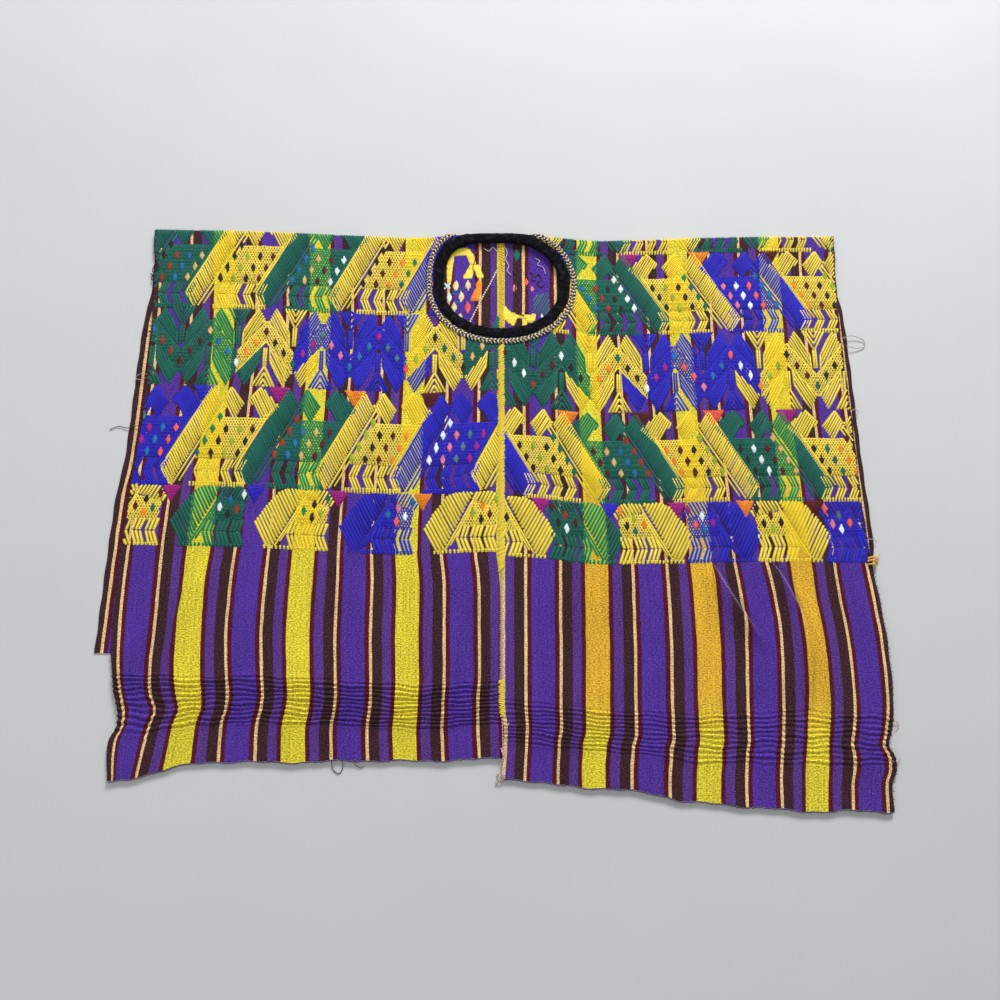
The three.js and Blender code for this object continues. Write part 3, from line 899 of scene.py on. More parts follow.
def lines(dye, width, *paths):
    found = []
    for path in paths:
        for (x0, y0), (x1, y1) in zip(path, path[1:]):
            found.append((x0, y0, x1, y1, width + wide.get(dye, 0) * 0.6, dye, 0))
    return found


def diamond(x, y, dye, size=1.0):
    # a spot of five short floats that lies over the lattice
    return [
        (x - half * size, y + up * size, x + half * size, y + up * size, 3.6 * size, dye, 0.6)
        for up, half in ((4.0, 1.1), (2.0, 2.4), (0, 3.3), (-2.0, 2.4), (-4.0, 1.1))
    ]


spotDyes = {
    "yellow": ("soot", "oxblood", "orange", "pine", "soot", "olive"),
    "pine": ("tan", "oxblood", "white", "soot", "rust", "sea"),
    "blue": ("white", "rose", "slate", "magenta", "sea", "coral"),
}
fillerDyes = ("coral", "magenta", "blue", "magenta", "orange", "oxblood")
chartHeight = {"beast": 124, "moth": 103, "pup": 71}


def beast(dye, turn):
    # the slanted beast: a hatched neck leaning over a spotted body, two ears and zigzag legs
    spots = spotDyes[dye]
    made = hatch([(0, 20), (54, 122), (68, 104), (13, 0)], -lean, dye)
    made += lines(dye, 2.2, [(0, 20), (54, 122)], [(0, 20), (12, 0)])
    made += lines(dye, 1.9, [(16, 1), (70, 102)], [(23, 4), (73, 98)])
    made += hatch([(67, 102), (77, 123), (93, 100), (83, 80)], -lean, dye)
    made += lines(dye, 2.2, [(68, 104), (77, 122), (93, 100)])
    made += hatch([(99, 106), (113, 124), (137, 98), (119, 78)], -lean, dye)
    made += lines(dye, 2.2, [(99, 106), (113, 123)])
    made += lattice([(38, 32), (67, 84), (122, 84), (94, 32)], dye)
    made += lines(dye, 2.0, [(88, 20), (128, 96)], [(84, 20), (121, 90)])
    for column, foot in enumerate((42, 58, 74, 90)):
        for step in range(4 if column == 0 else 3):
            made += diamond(foot + 8 * step, 39 + 15 * step, spots[(column + turn) % len(spots)])
    for group in (40, 56, 72, 88):
        for offset in (0, 3.5, 7):
            x = group + offset
            made += lines(dye, 2.0, [(x + 6, 32), (x, 17), (x + 6.5, 1)])
    for x in np.arange(36, 102, 3.5):
        made += lines(dye, 1.9, [(x, 4), (x + 0.4, -3)])
    filler = fillerDyes[turn % len(fillerDyes)]
    made += hatch([(121, 124), (149, 124), (136, 101)], -lean, filler, 3.0, 2.5)
    made += hatch([(121, 124), (149, 124), (136, 101)], lean, filler, 3.4, 1.5)
    return made


def mothHalf(dye, apart):
    wing = [(1.5, 85), (10, 102), (19, 88), (28, 71), (29, 52)]
    made = []
    for side in (1, -1):
        made += hatch([(side * x, y) for x, y in wing], -side * lean, dye)
        made += lines(dye, 1.8, *[[(side * x, y) for x, y in wing[1:]]])
    for step in range(4):
        made += lines(dye, 2.2, [(apart - 13.5 + 4.2 * step, 103), (apart, 77 + 8 * step)])
        made += lines(dye, 2.2, [(apart + 13.5 - 4.2 * step, 103), (apart, 77 + 8 * step)])
    made += lines(dye, 2.3, [(apart - 1.4, 78), (apart - 1.4, 53)], [(apart + 1.4, 78), (apart + 1.4, 53)])
    return made


def moth(dye, turn):
    # wings above and below a zigzag of lattice, with forked stems between
    spots = spotDyes[dye]
    apart = 34.5
    tall = chartHeight["moth"]
    upper = mothHalf(dye, apart)
    made = list(upper)
    for x0, y0, x1, y1, width, colour, raised in upper:
        made.append((apart - x0, tall - y0, apart - x1, tall - y1, width, colour, raised))
    for side in (1, -1):
        band = [(0, 85), (side * apart, 44), (side * apart, 17), (0, 58)]
        made += lattice(band, dye)
        made += lines(dye, 1.8, [(0, 85), (side * apart, 44)], [(0, 58), (side * apart, 17)])
        for x, y in ((11.5, 57), (23, 44)):
            made += diamond(side * x, y, spots[(turn + (side < 0) * 2) % len(spots)])
    made += diamond(0, 71, spots[(turn + 1) % len(spots)])
    made += diamond(apart, 30, spots[(turn + 3) % len(spots)])
    return made


def pup(dye, turn):
    # the low beast of the last row: a rounded hatched back, a spotted side and short zigzag legs
    spots = spotDyes[dye]
    made = hatch([(0, 26), (12, 46), (28, 66), (38, 70), (60, 70), (24, 0), (14, 0)], -lean, dye, 4.4, 2.6)
    made += lines(dye, 2.0, [(26, 1), (60, 62)], [(32, 6), (56, 48)])
    made += hatch([(58, 60), (63, 70), (84, 70), (94, 56), (84, 46)], lean, dye, 4.4, 2.4)
    made += lattice([(40, 28), (57, 58), (88, 50), (84, 26)], dye)
    for x, y, spot in ((58, 44, 0), (68, 36, 1), (78, 42, 2), (70, 52, 3), (86, 60, 0)):
        made += diamond(x, y, spots[(spot + turn) % len(spots)])
    for group in (40, 56, 72):
        for offset in (0, 4.6, 9.2):
            x = group + offset
            made += lines(dye, 2.7, [(x + 5, 30), (x, 15), (x + 6, -2)])
    for x in np.arange(14, 84, 4.6):
        made += lines(dye, 2.2, [(x, 2), (x + 0.5, -3)])
    filler = fillerDyes[turn % len(fillerDyes)]
    made += hatch([(87, 70), (109, 70), (98, 48)], -lean, filler, 3.0, 2.8)
    made += hatch([(87, 70), (109, 70), (98, 48)], lean, filler, 3.4, 1.5)
    return made


# A row: its motif, how far down its lower line is, its height on the cloth, the X of its first motif,
# their spacing, and the dye of each
leftFront = (
    (beast, 105, 124, -480, 89.2, "pine yellow pine yellow blue yellow"),
    (moth, 208, 103, -425, 69.1, "pine pine yellow blue blue yellow pine"),
    (beast, 332, 124, -493, 91.8, "blue yellow pine yellow blue yellow"),
    (pup, 403, 71, -484, 98.5, "yellow pine yellow blue yellow"),
)
rightFront = (
    (beast, 20, 108, 78, 87, "yellow pine yellow pine yellow pine"),
    (beast, 127, 107, 120, 88, "yellow pine yellow blue yellow"),
    (moth, 228, 101, 6, 68.8, "pine pine yellow blue blue yellow yellow"),
    (beast, 338, 110, 42, 87.4, "blue yellow pine yellow pine yellow"),
    (pup, 408, 70, 66, 79.8, "yellow pine yellow blue yellow blue"),
)
leftBack = (
    (moth, -19, 103, -425, 69.1, "yellow pine blue yellow pine yellow blue"),
    (beast, -122, 124, -484, 91, "blue yellow pine yellow blue yellow"),
    (moth, -246, 100, -425, 69.1, "yellow pine blue blue yellow pine yellow"),
    (pup, -346, 68, -480, 98, "yellow blue yellow pine yellow"),
)
rightBack = (
    (moth, -88, 100, 30, 68.8, "yellow blue yellow pine yellow blue"),
    (beast, -188, 110, 66, 88, "pine yellow blue yellow pine yellow"),
    (moth, -298, 96, 20, 68.8, "pine yellow yellow blue pine yellow blue"),
)


def charted(panel, rows):
    # strokes as X on the table and down on the cloth
    strokes = []
    side = panel["lean"]
    for motif, foot, tall, first, pitch, dyeRow in rows:
        squeeze = tall / chartHeight[motif.__name__]
        for index, dye in enumerate(dyeRow.split()):
            at = first + pitch * index
            for x0, y0, x1, y1, *yarn in motif(dye, index + foot):
                ends = (at + side * x0, foot - y0 * squeeze, at + side * x1, foot - y1 * squeeze)
                strokes.append((*ends, *yarn))
    return strokes


def sampled(strokes):
    # points along every stroke, which strays a little from its chart, as by hand
    found = []
    hand = np.random.default_rng(len(strokes))
    for index, (x0, d0, x1, d1, width, dye, raised) in enumerate(strokes):
        length = math.hypot(x1 - x0, d1 - d0)
        if length < 1.2:
            continue
        x0, x1, d0, d1 = np.array([x0, x1, d0, d1]) + hand.normal(0, 0.22, 4)
        width *= hand.uniform(0.88, 1.1)
        colour = np.array(dyes[dye]) * hand.uniform(0.84, 1.08)
        rounding = min(0.8, length / 4)
        between = np.linspace(rounding, length - rounding, math.ceil(length / weave["step"]) + 1)
        along = np.concatenate([[0], between, [length]]) / length
        count = len(along)
        tip = np.zeros(count, bool)
        tip[[0, -1]] = True
        kept = tip.copy()
        kept[1::7] = True
        kept[-2] = True
        found.append({
            "x": x0 + (x1 - x0) * along,
            "down": d0 + (d1 - d0) * along,
            "aside": np.tile([-(d1 - d0) / length, (x1 - x0) / length], (count, 1)) * width / 2,
            "raised": np.full(count, float(raised)),
            "colour": np.tile(colour, (count, 1)),
            "dye": np.full(count, dye),
            "owner": np.full(count, index),
            "tip": tip,
            "kept": kept,
        })
    return {key: np.concatenate([points[key] for points in found]) for key in found[0]}


# A dye, whether it lies over a yellow stripe, and the float's own colour and its sides' there: painted shade
# off the stripes, colours near the stripe's on them
floatSides = (
    ("yellow", False, tint(248, 222, 84), tint(46, 30, 20)),
    ("yellow", True, dyes["yellow"], tint(204, 172, 30)),
    ("pine", True, tint(26, 122, 62), tint(172, 224, 74)),
    ("blue", True, tint(44, 40, 132), tint(216, 214, 176)),
)
# The float's section: places sideways in half widths, and up in parts of its rise
floatProfile = ((-1.62, -0.05), (-0.54, 0.85), (0, 1.0), (0.54, 0.85), (1.62, -0.05))


def floatShades(yarn, wrongSide):
    # painted shade: a float is darker along its sides, where it goes down between its neighbours, and a
    # little lighter along its top, a painted highlight; but over the yellow stripes the sides are given
    # colours near the stripe's, where the ground shows between the floats
    colours = yarn["colour"]
    # painted shade along the sides, a fifth of the float's colour
    sides = colours * 0.2
    for dye, onYellow, core, sideColour in floatSides:
        here = ((yarn["overYellow"] == onYellow) & (yarn["dye"] == dye))[:, None]
        colours = np.where(here, colours * 0.25 + np.array(core) * 0.75, colours)
        sides = np.where(here, np.array(sideColour), sides)
    # on the wrong side the painted shade along the sides is lighter
    if wrongSide:
        sides = colours * 0.7
    # the middle of the top is painted a little lighter, a painted highlight
    section = [sides, colours * 0.97, colours * 1.05, colours * 0.97, sides]
    return np.stack(section, axis=1).reshape(-1, 4)


def layFloats(name, panel, strokes, wrongSide=False):
    # every stroke becomes a low rounded ridge of yarn on the cloth
    yarn = sampled(strokes)
    x, down = yarn["x"], yarn["down"]
    across = acrossAt(panel, x, down)
    low, high = panel["edges"]
    pastNeck = outsideNeck(x, foldY(across) - down) - 6
    good = (across > low + 1.2) & (across < high - 1.2)
    if not wrongSide:
        good &= (pastNeck > 0) | (down < 0)
    overYellow = ((across - panel["stripeStart"]) / panel["stripeRepeat"]) % 1 < lemonShare
    # points stay close together only where a float bends, is cut off or changes colour
    kept = yarn["kept"] | (np.abs(down) < 8) | (np.abs(pastNeck) < 4)
    kept |= (across < low + 6) | (across > high - 6)
    changes = np.flatnonzero(overYellow[:-1] != overYellow[1:])
    kept[changes] = True
    kept[changes + 1] = True
    yarn.update(across=across, good=good, overYellow=overYellow)
    yarn = {key: values[kept] for key, values in yarn.items()}
    across, down, owner, good = (yarn[key] for key in ("across", "down", "owner", "good"))
    asideX, asideDown = yarn["aside"].T
    rise = weave["rise"] * (0.5 + 0.5 * smooth(1 + down / 6))
    raised = yarn["raised"] * (down > 0)
    points = []
    for sideways, up in floatProfile:
        height = np.where(yarn["tip"], -0.25, np.where(up < 0, up, up * rise + raised))
        above = -cloth["inner"] - height if wrongSide else wallFace(down) + height
        points.append(onPanel(panel, across + asideX * sideways, down + asideDown * sideways, above))
    size = len(floatProfile)
    points = np.stack(points, axis=1).reshape(-1, 3)
    places = np.repeat(np.stack([across, down], axis=-1), size, axis=0)
    # the floats' colours, with painted shade along their sides and a painted highlight along their tops
    coloursWithPaintedShade = floatShades(yarn, wrongSide)
    linked = np.flatnonzero((owner[:-1] == owner[1:]) & good[:-1] & good[1:])
    quads = []
    for j in range(size - 1):
        a, b = linked * size + j, (linked + 1) * size + j
        quad = [a, a + 1, b + 1, b]
        quads.append(np.stack(quad if not wrongSide else quad[::-1], axis=-1))
    quads = np.concatenate(quads)
    used = np.unique(quads)
    faces = renumbered(used, len(points))[quads].tolist()
    piece = meshPiece(name, points[used], faces, brocadeYarn, places[used], coloursWithPaintedShade[used])
    print(name, len(quads) * 2, "triangles")
    return piece


leftBrocade = layFloats("left_brocade", leftPanel, charted(leftPanel, leftFront))
rightBrocade = layFloats("right_brocade", rightPanel, charted(rightPanel, rightFront))
leftBackBrocade = layFloats("left_back_brocade", leftPanel, charted(leftPanel, leftBack))
rightBackBrocade = layFloats("right_back_brocade", rightPanel, charted(rightPanel, rightBack))

# The wrong side of the back shows inside the neck: places are X and down
wrongLeft = fill([
    (-67, -61), (-67, -26), (-60, -17), (-41, -17), (-32, -25), (-30, -38), (-38, -38), (-43, -25),
    (-57, -24), (-61, -61),
], "yellow")
wrongLeft += fill([
    (-46, -55), (-38, -40), (-27, -40), (-20, -56), (-29, -56), (-32, -46), (-35, -56),
], "yellow")
wrongLeft += fill([(-37, -86), (-31, -72), (-23, -74), (-27, -88)], "orange")
wrongLeft += fill([(-11, -129), (-2, -106), (1, -129)], "pine")
wrongLeft += lines("white", 1.5, [(-70, -62), (-62, -70)], [(-62, -62), (-70, -70)])
wrongLeft += lines("sea", 1.2, [(-60, -74), (-44, -72)], [(-58, -88), (-46, -90)], [(-62, -77), (-52, -78)])
for x, down, dye, size in (
    (-55, -67, "straw", 1.1), (-40, -67, "straw", 1.1), (-63, -82, "white", 1.0), (-48, -82, "straw", 1.1),
    (-57, -96, "straw", 1.1), (-49, -109, "straw", 0.9), (-26, -67, "orange", 1.3), (-40, -96, "coral", 1.2),
):
    wrongLeft += diamond(x, down, dye, size)
wrongRight = fill([
    (4, -97), (9, -99), (14, -105), (24, -108), (45, -106), (44, -112), (37, -118), (31, -110), (22, -110),
    (18, -122), (10, -118), (4, -109),
], "yellow")
wrongRight += fill([(27, -113), (35, -113), (31, -127)], "yellow")
wrongRight += hatch([(42, -80), (61, -74), (62, -105), (40, -105)], lean, "slate", 3.4, 1.5)
for x, down, dye, size in (
    (18, -71, "rose", 0.9), (21, -26, "pine", 1.3), (33, -62, "coral", 0.8), (40, -71, "rose", 0.7),
    (52, -108, "white", 0.6), (60, -108, "white", 0.6),
):
    wrongRight += diamond(x, down, dye, size)
leftWrongSide = layFloats("left_wrong_side", leftPanel, wrongLeft, wrongSide=True)
rightWrongSide = layFloats("right_wrong_side", rightPanel, wrongRight, wrongSide=True)


# The neck's binding and braid

def roundNeck(angle, outside):
    c, s = np.cos(angle), np.sin(angle)
    power = 2 / neckPower(c, s)
    x = neck["x"] + (neck["halfWidth"] + outside) * np.sign(c) * np.abs(c) ** power
    y = neck["y"] + (neck["halfHeight"] + outside) * np.sign(s) * np.abs(s) ** power
    sunk = neck["dip"] * np.exp(-(((x + 6) / 16) ** 2)) * (s > 0)  # between the top's two low humps
    return x, y - sunk


def nearNeck(x, y, above):
    # points over whichever panel lies there
    down = foldY(x) - y
    found = np.zeros((*x.shape, 3))
    for panel, here in ((leftPanel, x < cloth["seamX"]), (rightPanel, x >= cloth["seamX"])):
        flat = acrossAt(panel, x[here], down[here])
        found[here] = onPanel(panel, flat, down[here], above[here])
    return found


def evenAngles(outside, count):
    # angles round the neck at even distances
    fine = np.linspace(0, 2 * math.pi, 4001)
    x, y = roundNeck(fine, outside)
    run = np.concatenate([[0], np.cumsum(np.hypot(np.diff(x), np.diff(y)))])
    return np.interp(np.arange(count) / count * run[-1], run, fine), run[-1]


binding = {"width": 13, "inside": 7.6, "stations": 300, "puff": 1.35, "clear": 0.45}


def bindingPiece():
    # (outside, above) round the folded strip, from its outer edge over the top to its inner edge
    top = cloth["outer"] + cloth["relief"] + binding["clear"]
    under = -cloth["outer"] - binding["clear"]
    puff, edge, hidden = binding["puff"], binding["width"], binding["inside"]
    shows = [
        (edge, top - 0.2), (edge + 0.1, top + puff * 0.45), (edge - 0.8, top + puff * 0.85),
        (10.6, top + puff * 0.95), (8.6, top + puff * 1.08), (6.6, top + puff * 1.12),
        (4.6, top + puff * 1.1), (2.8, top + puff * 0.95), (1.4, top + puff * 0.6),
        (0.45, top + puff * 0.05), (0.0, 0.3), (0.3, under * 0.75),
    ]
    section = shows + [
        (1.1, under - 0.45), (2.6, under - 0.95), (4.6, under - 1.1), (6.6, under - 0.95),
        (hidden, under - 0.5), (hidden - 0.1, under), (5.2, under), (2.9, under), (2.9, 0),
        (2.9, top - 0.1), (6.0, top - 0.1), (9.5, top - 0.15),
    ]
    outside, above = np.array(section, float).T
    count, size = binding["stations"], len(section)
    angles, around = evenAngles(6, count)
    angle = np.repeat(angles, size)
    run = np.repeat(np.arange(count) / count * around, size)
    out, up = np.tile(outside, count), np.tile(above, count)
    # the strip gathers a little on the inside of the curve
    showing = np.tile(np.arange(size) < len(shows), count)
    gathers = 0.32 * np.sin(run / 2.3 + out * 0.3) * np.sin(run / 11.7 + 1) + 0.2 * np.sin(run / 1.5 + out)
    up = up + gathers * showing * (1 - np.abs(out - 7) / 9)
    out = out + 0.45 * np.sin(run / 5.3) * (out > 12) * showing + 0.3 * np.sin(run / 4.1 + 2) * (out < 1)
    x, y = roundNeck(angle, out)
    points = nearNeck(x, y, up)
    faces = [(a, d, c, b) for a, b, c, d in ringFaces(count, size, closed=True)]
    places = np.stack([run, np.tile(np.arange(size) * 1.6, count)], axis=-1)
    piece = meshPiece("velvet_binding", points, faces, velvetPile, places, sharpAngle=70)
    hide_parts("neck_binding")
    return piece


braid = {"middle": 17.8, "wave": 9.4, "perWave": 16}
# how far each kind of strand sways, rises and spreads
braidStrand = {
    "pale": {"sway": 2.5, "lift": 0.75, "base": 1.35, "thick": 0.98},
    "dark": {"sway": 1.5, "lift": 0.3, "base": 0.55, "thick": 1.75},
}


def braidPiece():
    # four strands plaited flat: two pale ones make a chain of links over two dark ones
    _, around = evenAngles(braid["middle"], 8)
    waves = round(around / braid["wave"])
    count = waves * braid["perWave"]
    angles, _ = evenAngles(braid["middle"], count)
    phase = np.arange(count) / braid["perWave"] * 2 * math.pi
    parts = {braidGold: [], braidBrown: []}
    for strand in range(4):
        kind = braidStrand[("pale", "dark")[strand % 2]]
        turn = phase + strand * math.pi / 2
        out = braid["middle"] + kind["sway"] * np.sin(turn) * (1 + 0.12 * np.sin(turn * 2))
        x, y = roundNeck(angles, out)
        pressed = smooth((y - foldY(x)) / 3)  # flat under the shoulders, where it lies on the table
        lift = kind["base"] + kind["lift"] * np.sin(turn * 2 + 0.8)
        path = nearNeck(x, y, cloth["outer"] + cloth["relief"] + lift * (1 - 0.7 * pressed))
        radius = kind["thick"] * (0.92 + 0.1 * np.sin(phase * 2.7 + strand)) * (1 - 0.2 * pressed)
        material = (braidGold, braidBrown)[strand % 2]
        parts[material].append(tube(path, radius, closed=True, squash=0.85))
    made = []
    for name, material in (("neck_braid_pale", braidGold), ("neck_braid_dark", braidBrown)):
        points, faces, places = joined(parts[material])
        piece = meshPiece(name, points, faces, material, places)
        made.append(piece)
    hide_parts("neck_braid")
    return made


velvetBinding = bindingPiece()
braidStrands = braidPiece()
print("neck trimmed")


# The sewing

def curvePiece(name, path):
    # a poly curve through points in millimetres
    made = bpy.data.curves.new(name, "CURVE")
    made.dimensions = "3D"
    spline = made.splines.new("POLY")
    points = toMetres(path)
    spline.points.add(len(points) - 1)
    for slot, point in zip(spline.points, points):
        slot.co = (*point, 1.0)
    return addObject(name, made)


def stitchTree():
    # arched stitches across a curve: spacing, width, height, thickness, slant and unevenness
    tree = bpy.data.node_groups.new("stitches_along_seam", "GeometryNodeTree")
    ports = {}
    tree.interface.new_socket("Geometry", in_out="INPUT", socket_type="NodeSocketGeometry")
    for name, value in (
        ("Spacing", 0.003), ("Width", 0.006), ("Height", 0.001), ("Thickness", 0.0005),
        ("Slant", 0.3), ("Uneven", 0.15),
    ):
        socket = tree.interface.new_socket(name, in_out="INPUT", socket_type="NodeSocketFloat")
        socket.default_value = value
        ports[name] = socket.identifier
    socket = tree.interface.new_socket("Thread", in_out="INPUT", socket_type="NodeSocketMaterial")
    ports["Thread"] = socket.identifier
    tree.interface.new_socket("Geometry", in_out="OUTPUT", socket_type="NodeSocketGeometry")

    def node(kind, settings=None, inputs=None):
        made = tree.nodes.new(kind)
        for key, value in (settings or {}).items():
            setattr(made, key, value)
        for key, value in (inputs or {}).items():
            if isinstance(value, bpy.types.NodeSocket):
                tree.links.new(value, made.inputs[key])
            else:
                made.inputs[key].default_value = value
        return made

    def maths(operation, first, second):
        return node("ShaderNodeMath", {"operation": operation}, {0: first, 1: second}).outputs[0]

    def vector(**parts):
        return node("ShaderNodeCombineXYZ", {}, parts).outputs[0]

    def between(low, high, seed):
        limits = {"Min": low, "Max": high, "Seed": seed}
        made = node("FunctionNodeRandomValue", {"data_type": "FLOAT"}, limits)
        return next(out for out in made.outputs if out.type == "VALUE" and out.enabled)

    given = node("NodeGroupInput").outputs
    arch = node("GeometryNodeCurveQuadraticBezier", {}, {
        "Resolution": 6,
        "Start": vector(X=maths("MULTIPLY", given["Width"], -0.5)),
        "Middle": vector(Z=given["Height"]),
        "End": vector(X=maths("MULTIPLY", given["Width"], 0.5)),
    })
    ring = node("GeometryNodeCurvePrimitiveCircle", {"mode": "RADIUS"}, {
        "Resolution": 6, "Radius": given["Thickness"],
    })
    stitch = node("GeometryNodeCurveToMesh", {}, {
        "Curve": arch.outputs[0], "Profile Curve": ring.outputs[0], "Fill Caps": True,
    })
    points = node("GeometryNodeCurveToPoints", {"mode": "LENGTH"}, {
        "Curve": given["Geometry"], "Length": given["Spacing"],
    })
    facing = node("FunctionNodeAlignRotationToVector", {"axis": "Y", "pivot_axis": "Z"}, {
        "Vector": points.outputs["Tangent"],
    })
    wobble = between(maths("MULTIPLY", given["Uneven"], -1.0), given["Uneven"], seed=11)
    turn = node("FunctionNodeAxisAngleToRotation", {}, {
        "Axis": (0, 0, 1), "Angle": maths("ADD", given["Slant"], wobble),
    })
    slanted = node("FunctionNodeRotateRotation", {"rotation_space": "LOCAL"}, {
        "Rotation": facing.outputs[0], "Rotate By": turn.outputs[0],
    })
    placed = node("GeometryNodeInstanceOnPoints", {}, {
        "Points": points.outputs[0], "Instance": stitch.outputs[0], "Rotation": slanted.outputs[0],
        "Scale": between(0.85, 1.12, seed=23),
    })
    real = node("GeometryNodeRealizeInstances", {}, {"Geometry": placed.outputs[0]})
    painted = node("GeometryNodeSetMaterial", {}, {"Geometry": real.outputs[0], "Material": given["Thread"]})
    smoothed = node("GeometryNodeSetShadeSmooth", {}, {"Geometry": painted.outputs[0]})
    output = node("NodeGroupOutput")
    tree.links.new(smoothed.outputs[0], output.inputs[0])
    return tree, ports


stitches, stitchPorts = stitchTree()


def sewAlong(name, path, thread, **sizes):
    # runs the tree over a curve and keeps the plain mesh
    seam = curvePiece(name + "_line", path)
    modifier = seam.modifiers.new("stitches", "NODES")
    modifier.node_group = stitches
    modifier[stitchPorts["Thread"]] = thread
    for key, value in sizes.items():
        modifier[stitchPorts[key]] = value
    bpy.context.view_layer.update()
    evaluated = seam.evaluated_get(bpy.context.evaluated_depsgraph_get())
    mesh = bpy.data.meshes.new_from_object(evaluated)
    mesh.name = name
    if not mesh.materials:
        mesh.materials.append(thread)
    bpy.data.objects.remove(seam)
    piece = addObject(name, mesh)
    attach(piece, "root")
    print(name, len(mesh.polygons), "faces")
    return piece


def edgePath(panel, across, start, end, above, step=6.0):
    downs = np.linspace(start, end, max(2, int(abs(end - start) / step)))
    return onPanel(panel, across, downs, above)


def seamPath(start, end, above):
    return edgePath(rightPanel, cloth["seamX"] + 0.2, start, end, above)


sewing = {
    "joinStart": 151,
    "plainStart": 425,
    "joinEnd": 550,
    "tackEnd": 590,
    "backStart": 4,
    "backEnd": 522,
    "insideStart": 12,
    "insideEnd": 136,
    "sideStart": 422,
    "sideEnd": 545,
}
joinStitches = sewAlong(
    "centre_join", seamPath(sewing["joinStart"], sewing["plainStart"], cloth["outer"] + 0.1), sewingYellow,
    Spacing=0.0026, Width=0.0088, Height=0.0026, Thickness=0.00105, Slant=0.62, Uneven=0.16,
)
plainJoin = sewAlong(
    "centre_join_plain", seamPath(sewing["plainStart"], sewing["joinEnd"], cloth["outer"] - 0.1), sewingPale,
    Spacing=0.0024, Width=0.0046, Height=0.0012, Thickness=0.00055, Slant=0.7, Uneven=0.16,
)
tackStitches = sewAlong(
    "slit_bar_tack", seamPath(sewing["joinEnd"] + 1, sewing["tackEnd"], cloth["outer"] + 0.3), sewingYellow,
    Spacing=0.0019, Width=0.0058, Height=0.0026, Thickness=0.0009, Slant=0.12, Uneven=0.25,
)
wrongJoin = sewAlong(
    "centre_join_back", seamPath(-sewing["backStart"], -sewing["backEnd"], 0.15), sewingYellow,
    Spacing=0.0032, Width=0.0052, Height=-0.0004, Thickness=0.00036, Slant=0.5, Uneven=0.12,
)
innerJoin = sewAlong(
    "centre_join_inside", seamPath(-sewing["insideStart"], -sewing["insideEnd"], -cloth["inner"] - 0.1),
    sewingYellow, Spacing=0.0034, Width=0.0078, Height=0.0016, Thickness=0.0009, Slant=-0.7, Uneven=0.3,
)
sidePath = edgePath(
    rightPanel, rightPanel["edges"][1] - 1.2, sewing["sideStart"], sewing["sideEnd"], cloth["outer"]
)
sideStitches = sewAlong(
    "right_side_seam", sidePath, sewingDark,
    Spacing=0.0052, Width=0.0046, Height=0.0012, Thickness=0.00042, Slant=0.35, Uneven=0.2,
)


def backInside(panel, places, above):
    # X and down on the wrong side of the back
    x, down = np.array(places, float).T
    return onPanel(panel, acrossAt(panel, x, down), down, -cloth["inner"] - above)


mendingPlaces = ((-4, -48), (-13, -67), (-21, -82), (-28, -97), (-36, -114), (-39, -122))
mendingStitches = sewAlong(
    "mending_stitches", backInside(leftPanel, mendingPlaces, 0.1), sewingCream,
    Spacing=0.0032, Width=0.0012, Height=0.0016, Thickness=0.00105, Slant=1.57, Uneven=0.2,
)


def hemPath(panel):
    across = np.arange(panel["edges"][0] + 1, panel["edges"][1] - 1, 6.0)
    points = onPanel(panel, across, panel["frontEnd"] + 0.4, 0)
    points[:, 1] -= hemWaver(across) + 0.6
    return points


hemFringes = [
    sewAlong(
        panel["side"] + "_hem_ends", hemPath(panel), hemEnds,
        Spacing=0.0013, Width=0.0042, Height=0.0007, Thickness=0.00022, Slant=1.57, Uneven=0.55,
    )
    for panel in panels
]


def threadPiece(name, material, *threads):
    # loose thread ends: each a smooth path through a few places
    parts = []
    for radius, stops in threads:
        keys = np.arange(len(stops), dtype=float)
        fine = np.linspace(0, len(stops) - 1, len(stops) * 7)
        path = [curve(keys, np.array(column, float), fine) for column in zip(*stops)]
        parts.append(tube(np.stack(path, axis=-1), radius, sides=6))
    points, faces, places = joined(parts)
    piece = meshPiece(name, points, faces, material, places)
    return piece


# Short ends stand out along the selvedges
edgeFuzz = [
    sewAlong(
        panel["side"] + "_selvedge_fuzz", edgePath(panel, across, 24, end, 0.3), sewingDark,
        Spacing=0.0085, Width=0.0052, Height=0.0012, Thickness=0.00034, Slant=0.6, Uneven=1.3,
    )
    for panel, across, end in (
        (leftPanel, leftPanel["edges"][0] + 0.6, 600),
        (rightPanel, rightPanel["edges"][1] - 0.6, 650),
    )
]
# and threads hang on the back's wrong side, inside the neck
insidePale = threadPiece(
    "inside_pale_threads", sewingCream,
    (0.45, backInside(rightPanel, ((6, -16), (9, -24), (7, -33), (11, -41), (9, -48), (14, -54)), 0.9)),
    (0.35, backInside(rightPanel, ((44, -30), (50, -33), (47, -38), (54, -41), (57, -50)), 0.8)),
    (0.4, backInside(leftPanel, ((-20, -18), (-14, -22), (-9, -17), (-4, -22)), 0.8)),
)
insideDark = threadPiece(
    "inside_dark_threads", sewingDark,
    (0.6, backInside(rightPanel, ((16, -46), (22, -58), (19, -74), (25, -90), (21, -104), (30, -108)), 0.8)),
    (0.5, backInside(rightPanel, ((44, -54), (49, -51), (52, -58), (46, -63), (51, -68), (56, -64)), 0.8)),
    (0.5, backInside(rightPanel, ((38, -48), (42, -52), (39, -58), (45, -60)), 0.8)),
    (0.5, backInside(leftPanel, ((-36, -20), (-31, -30), (-34, -44), (-29, -58)), 0.8)),
)


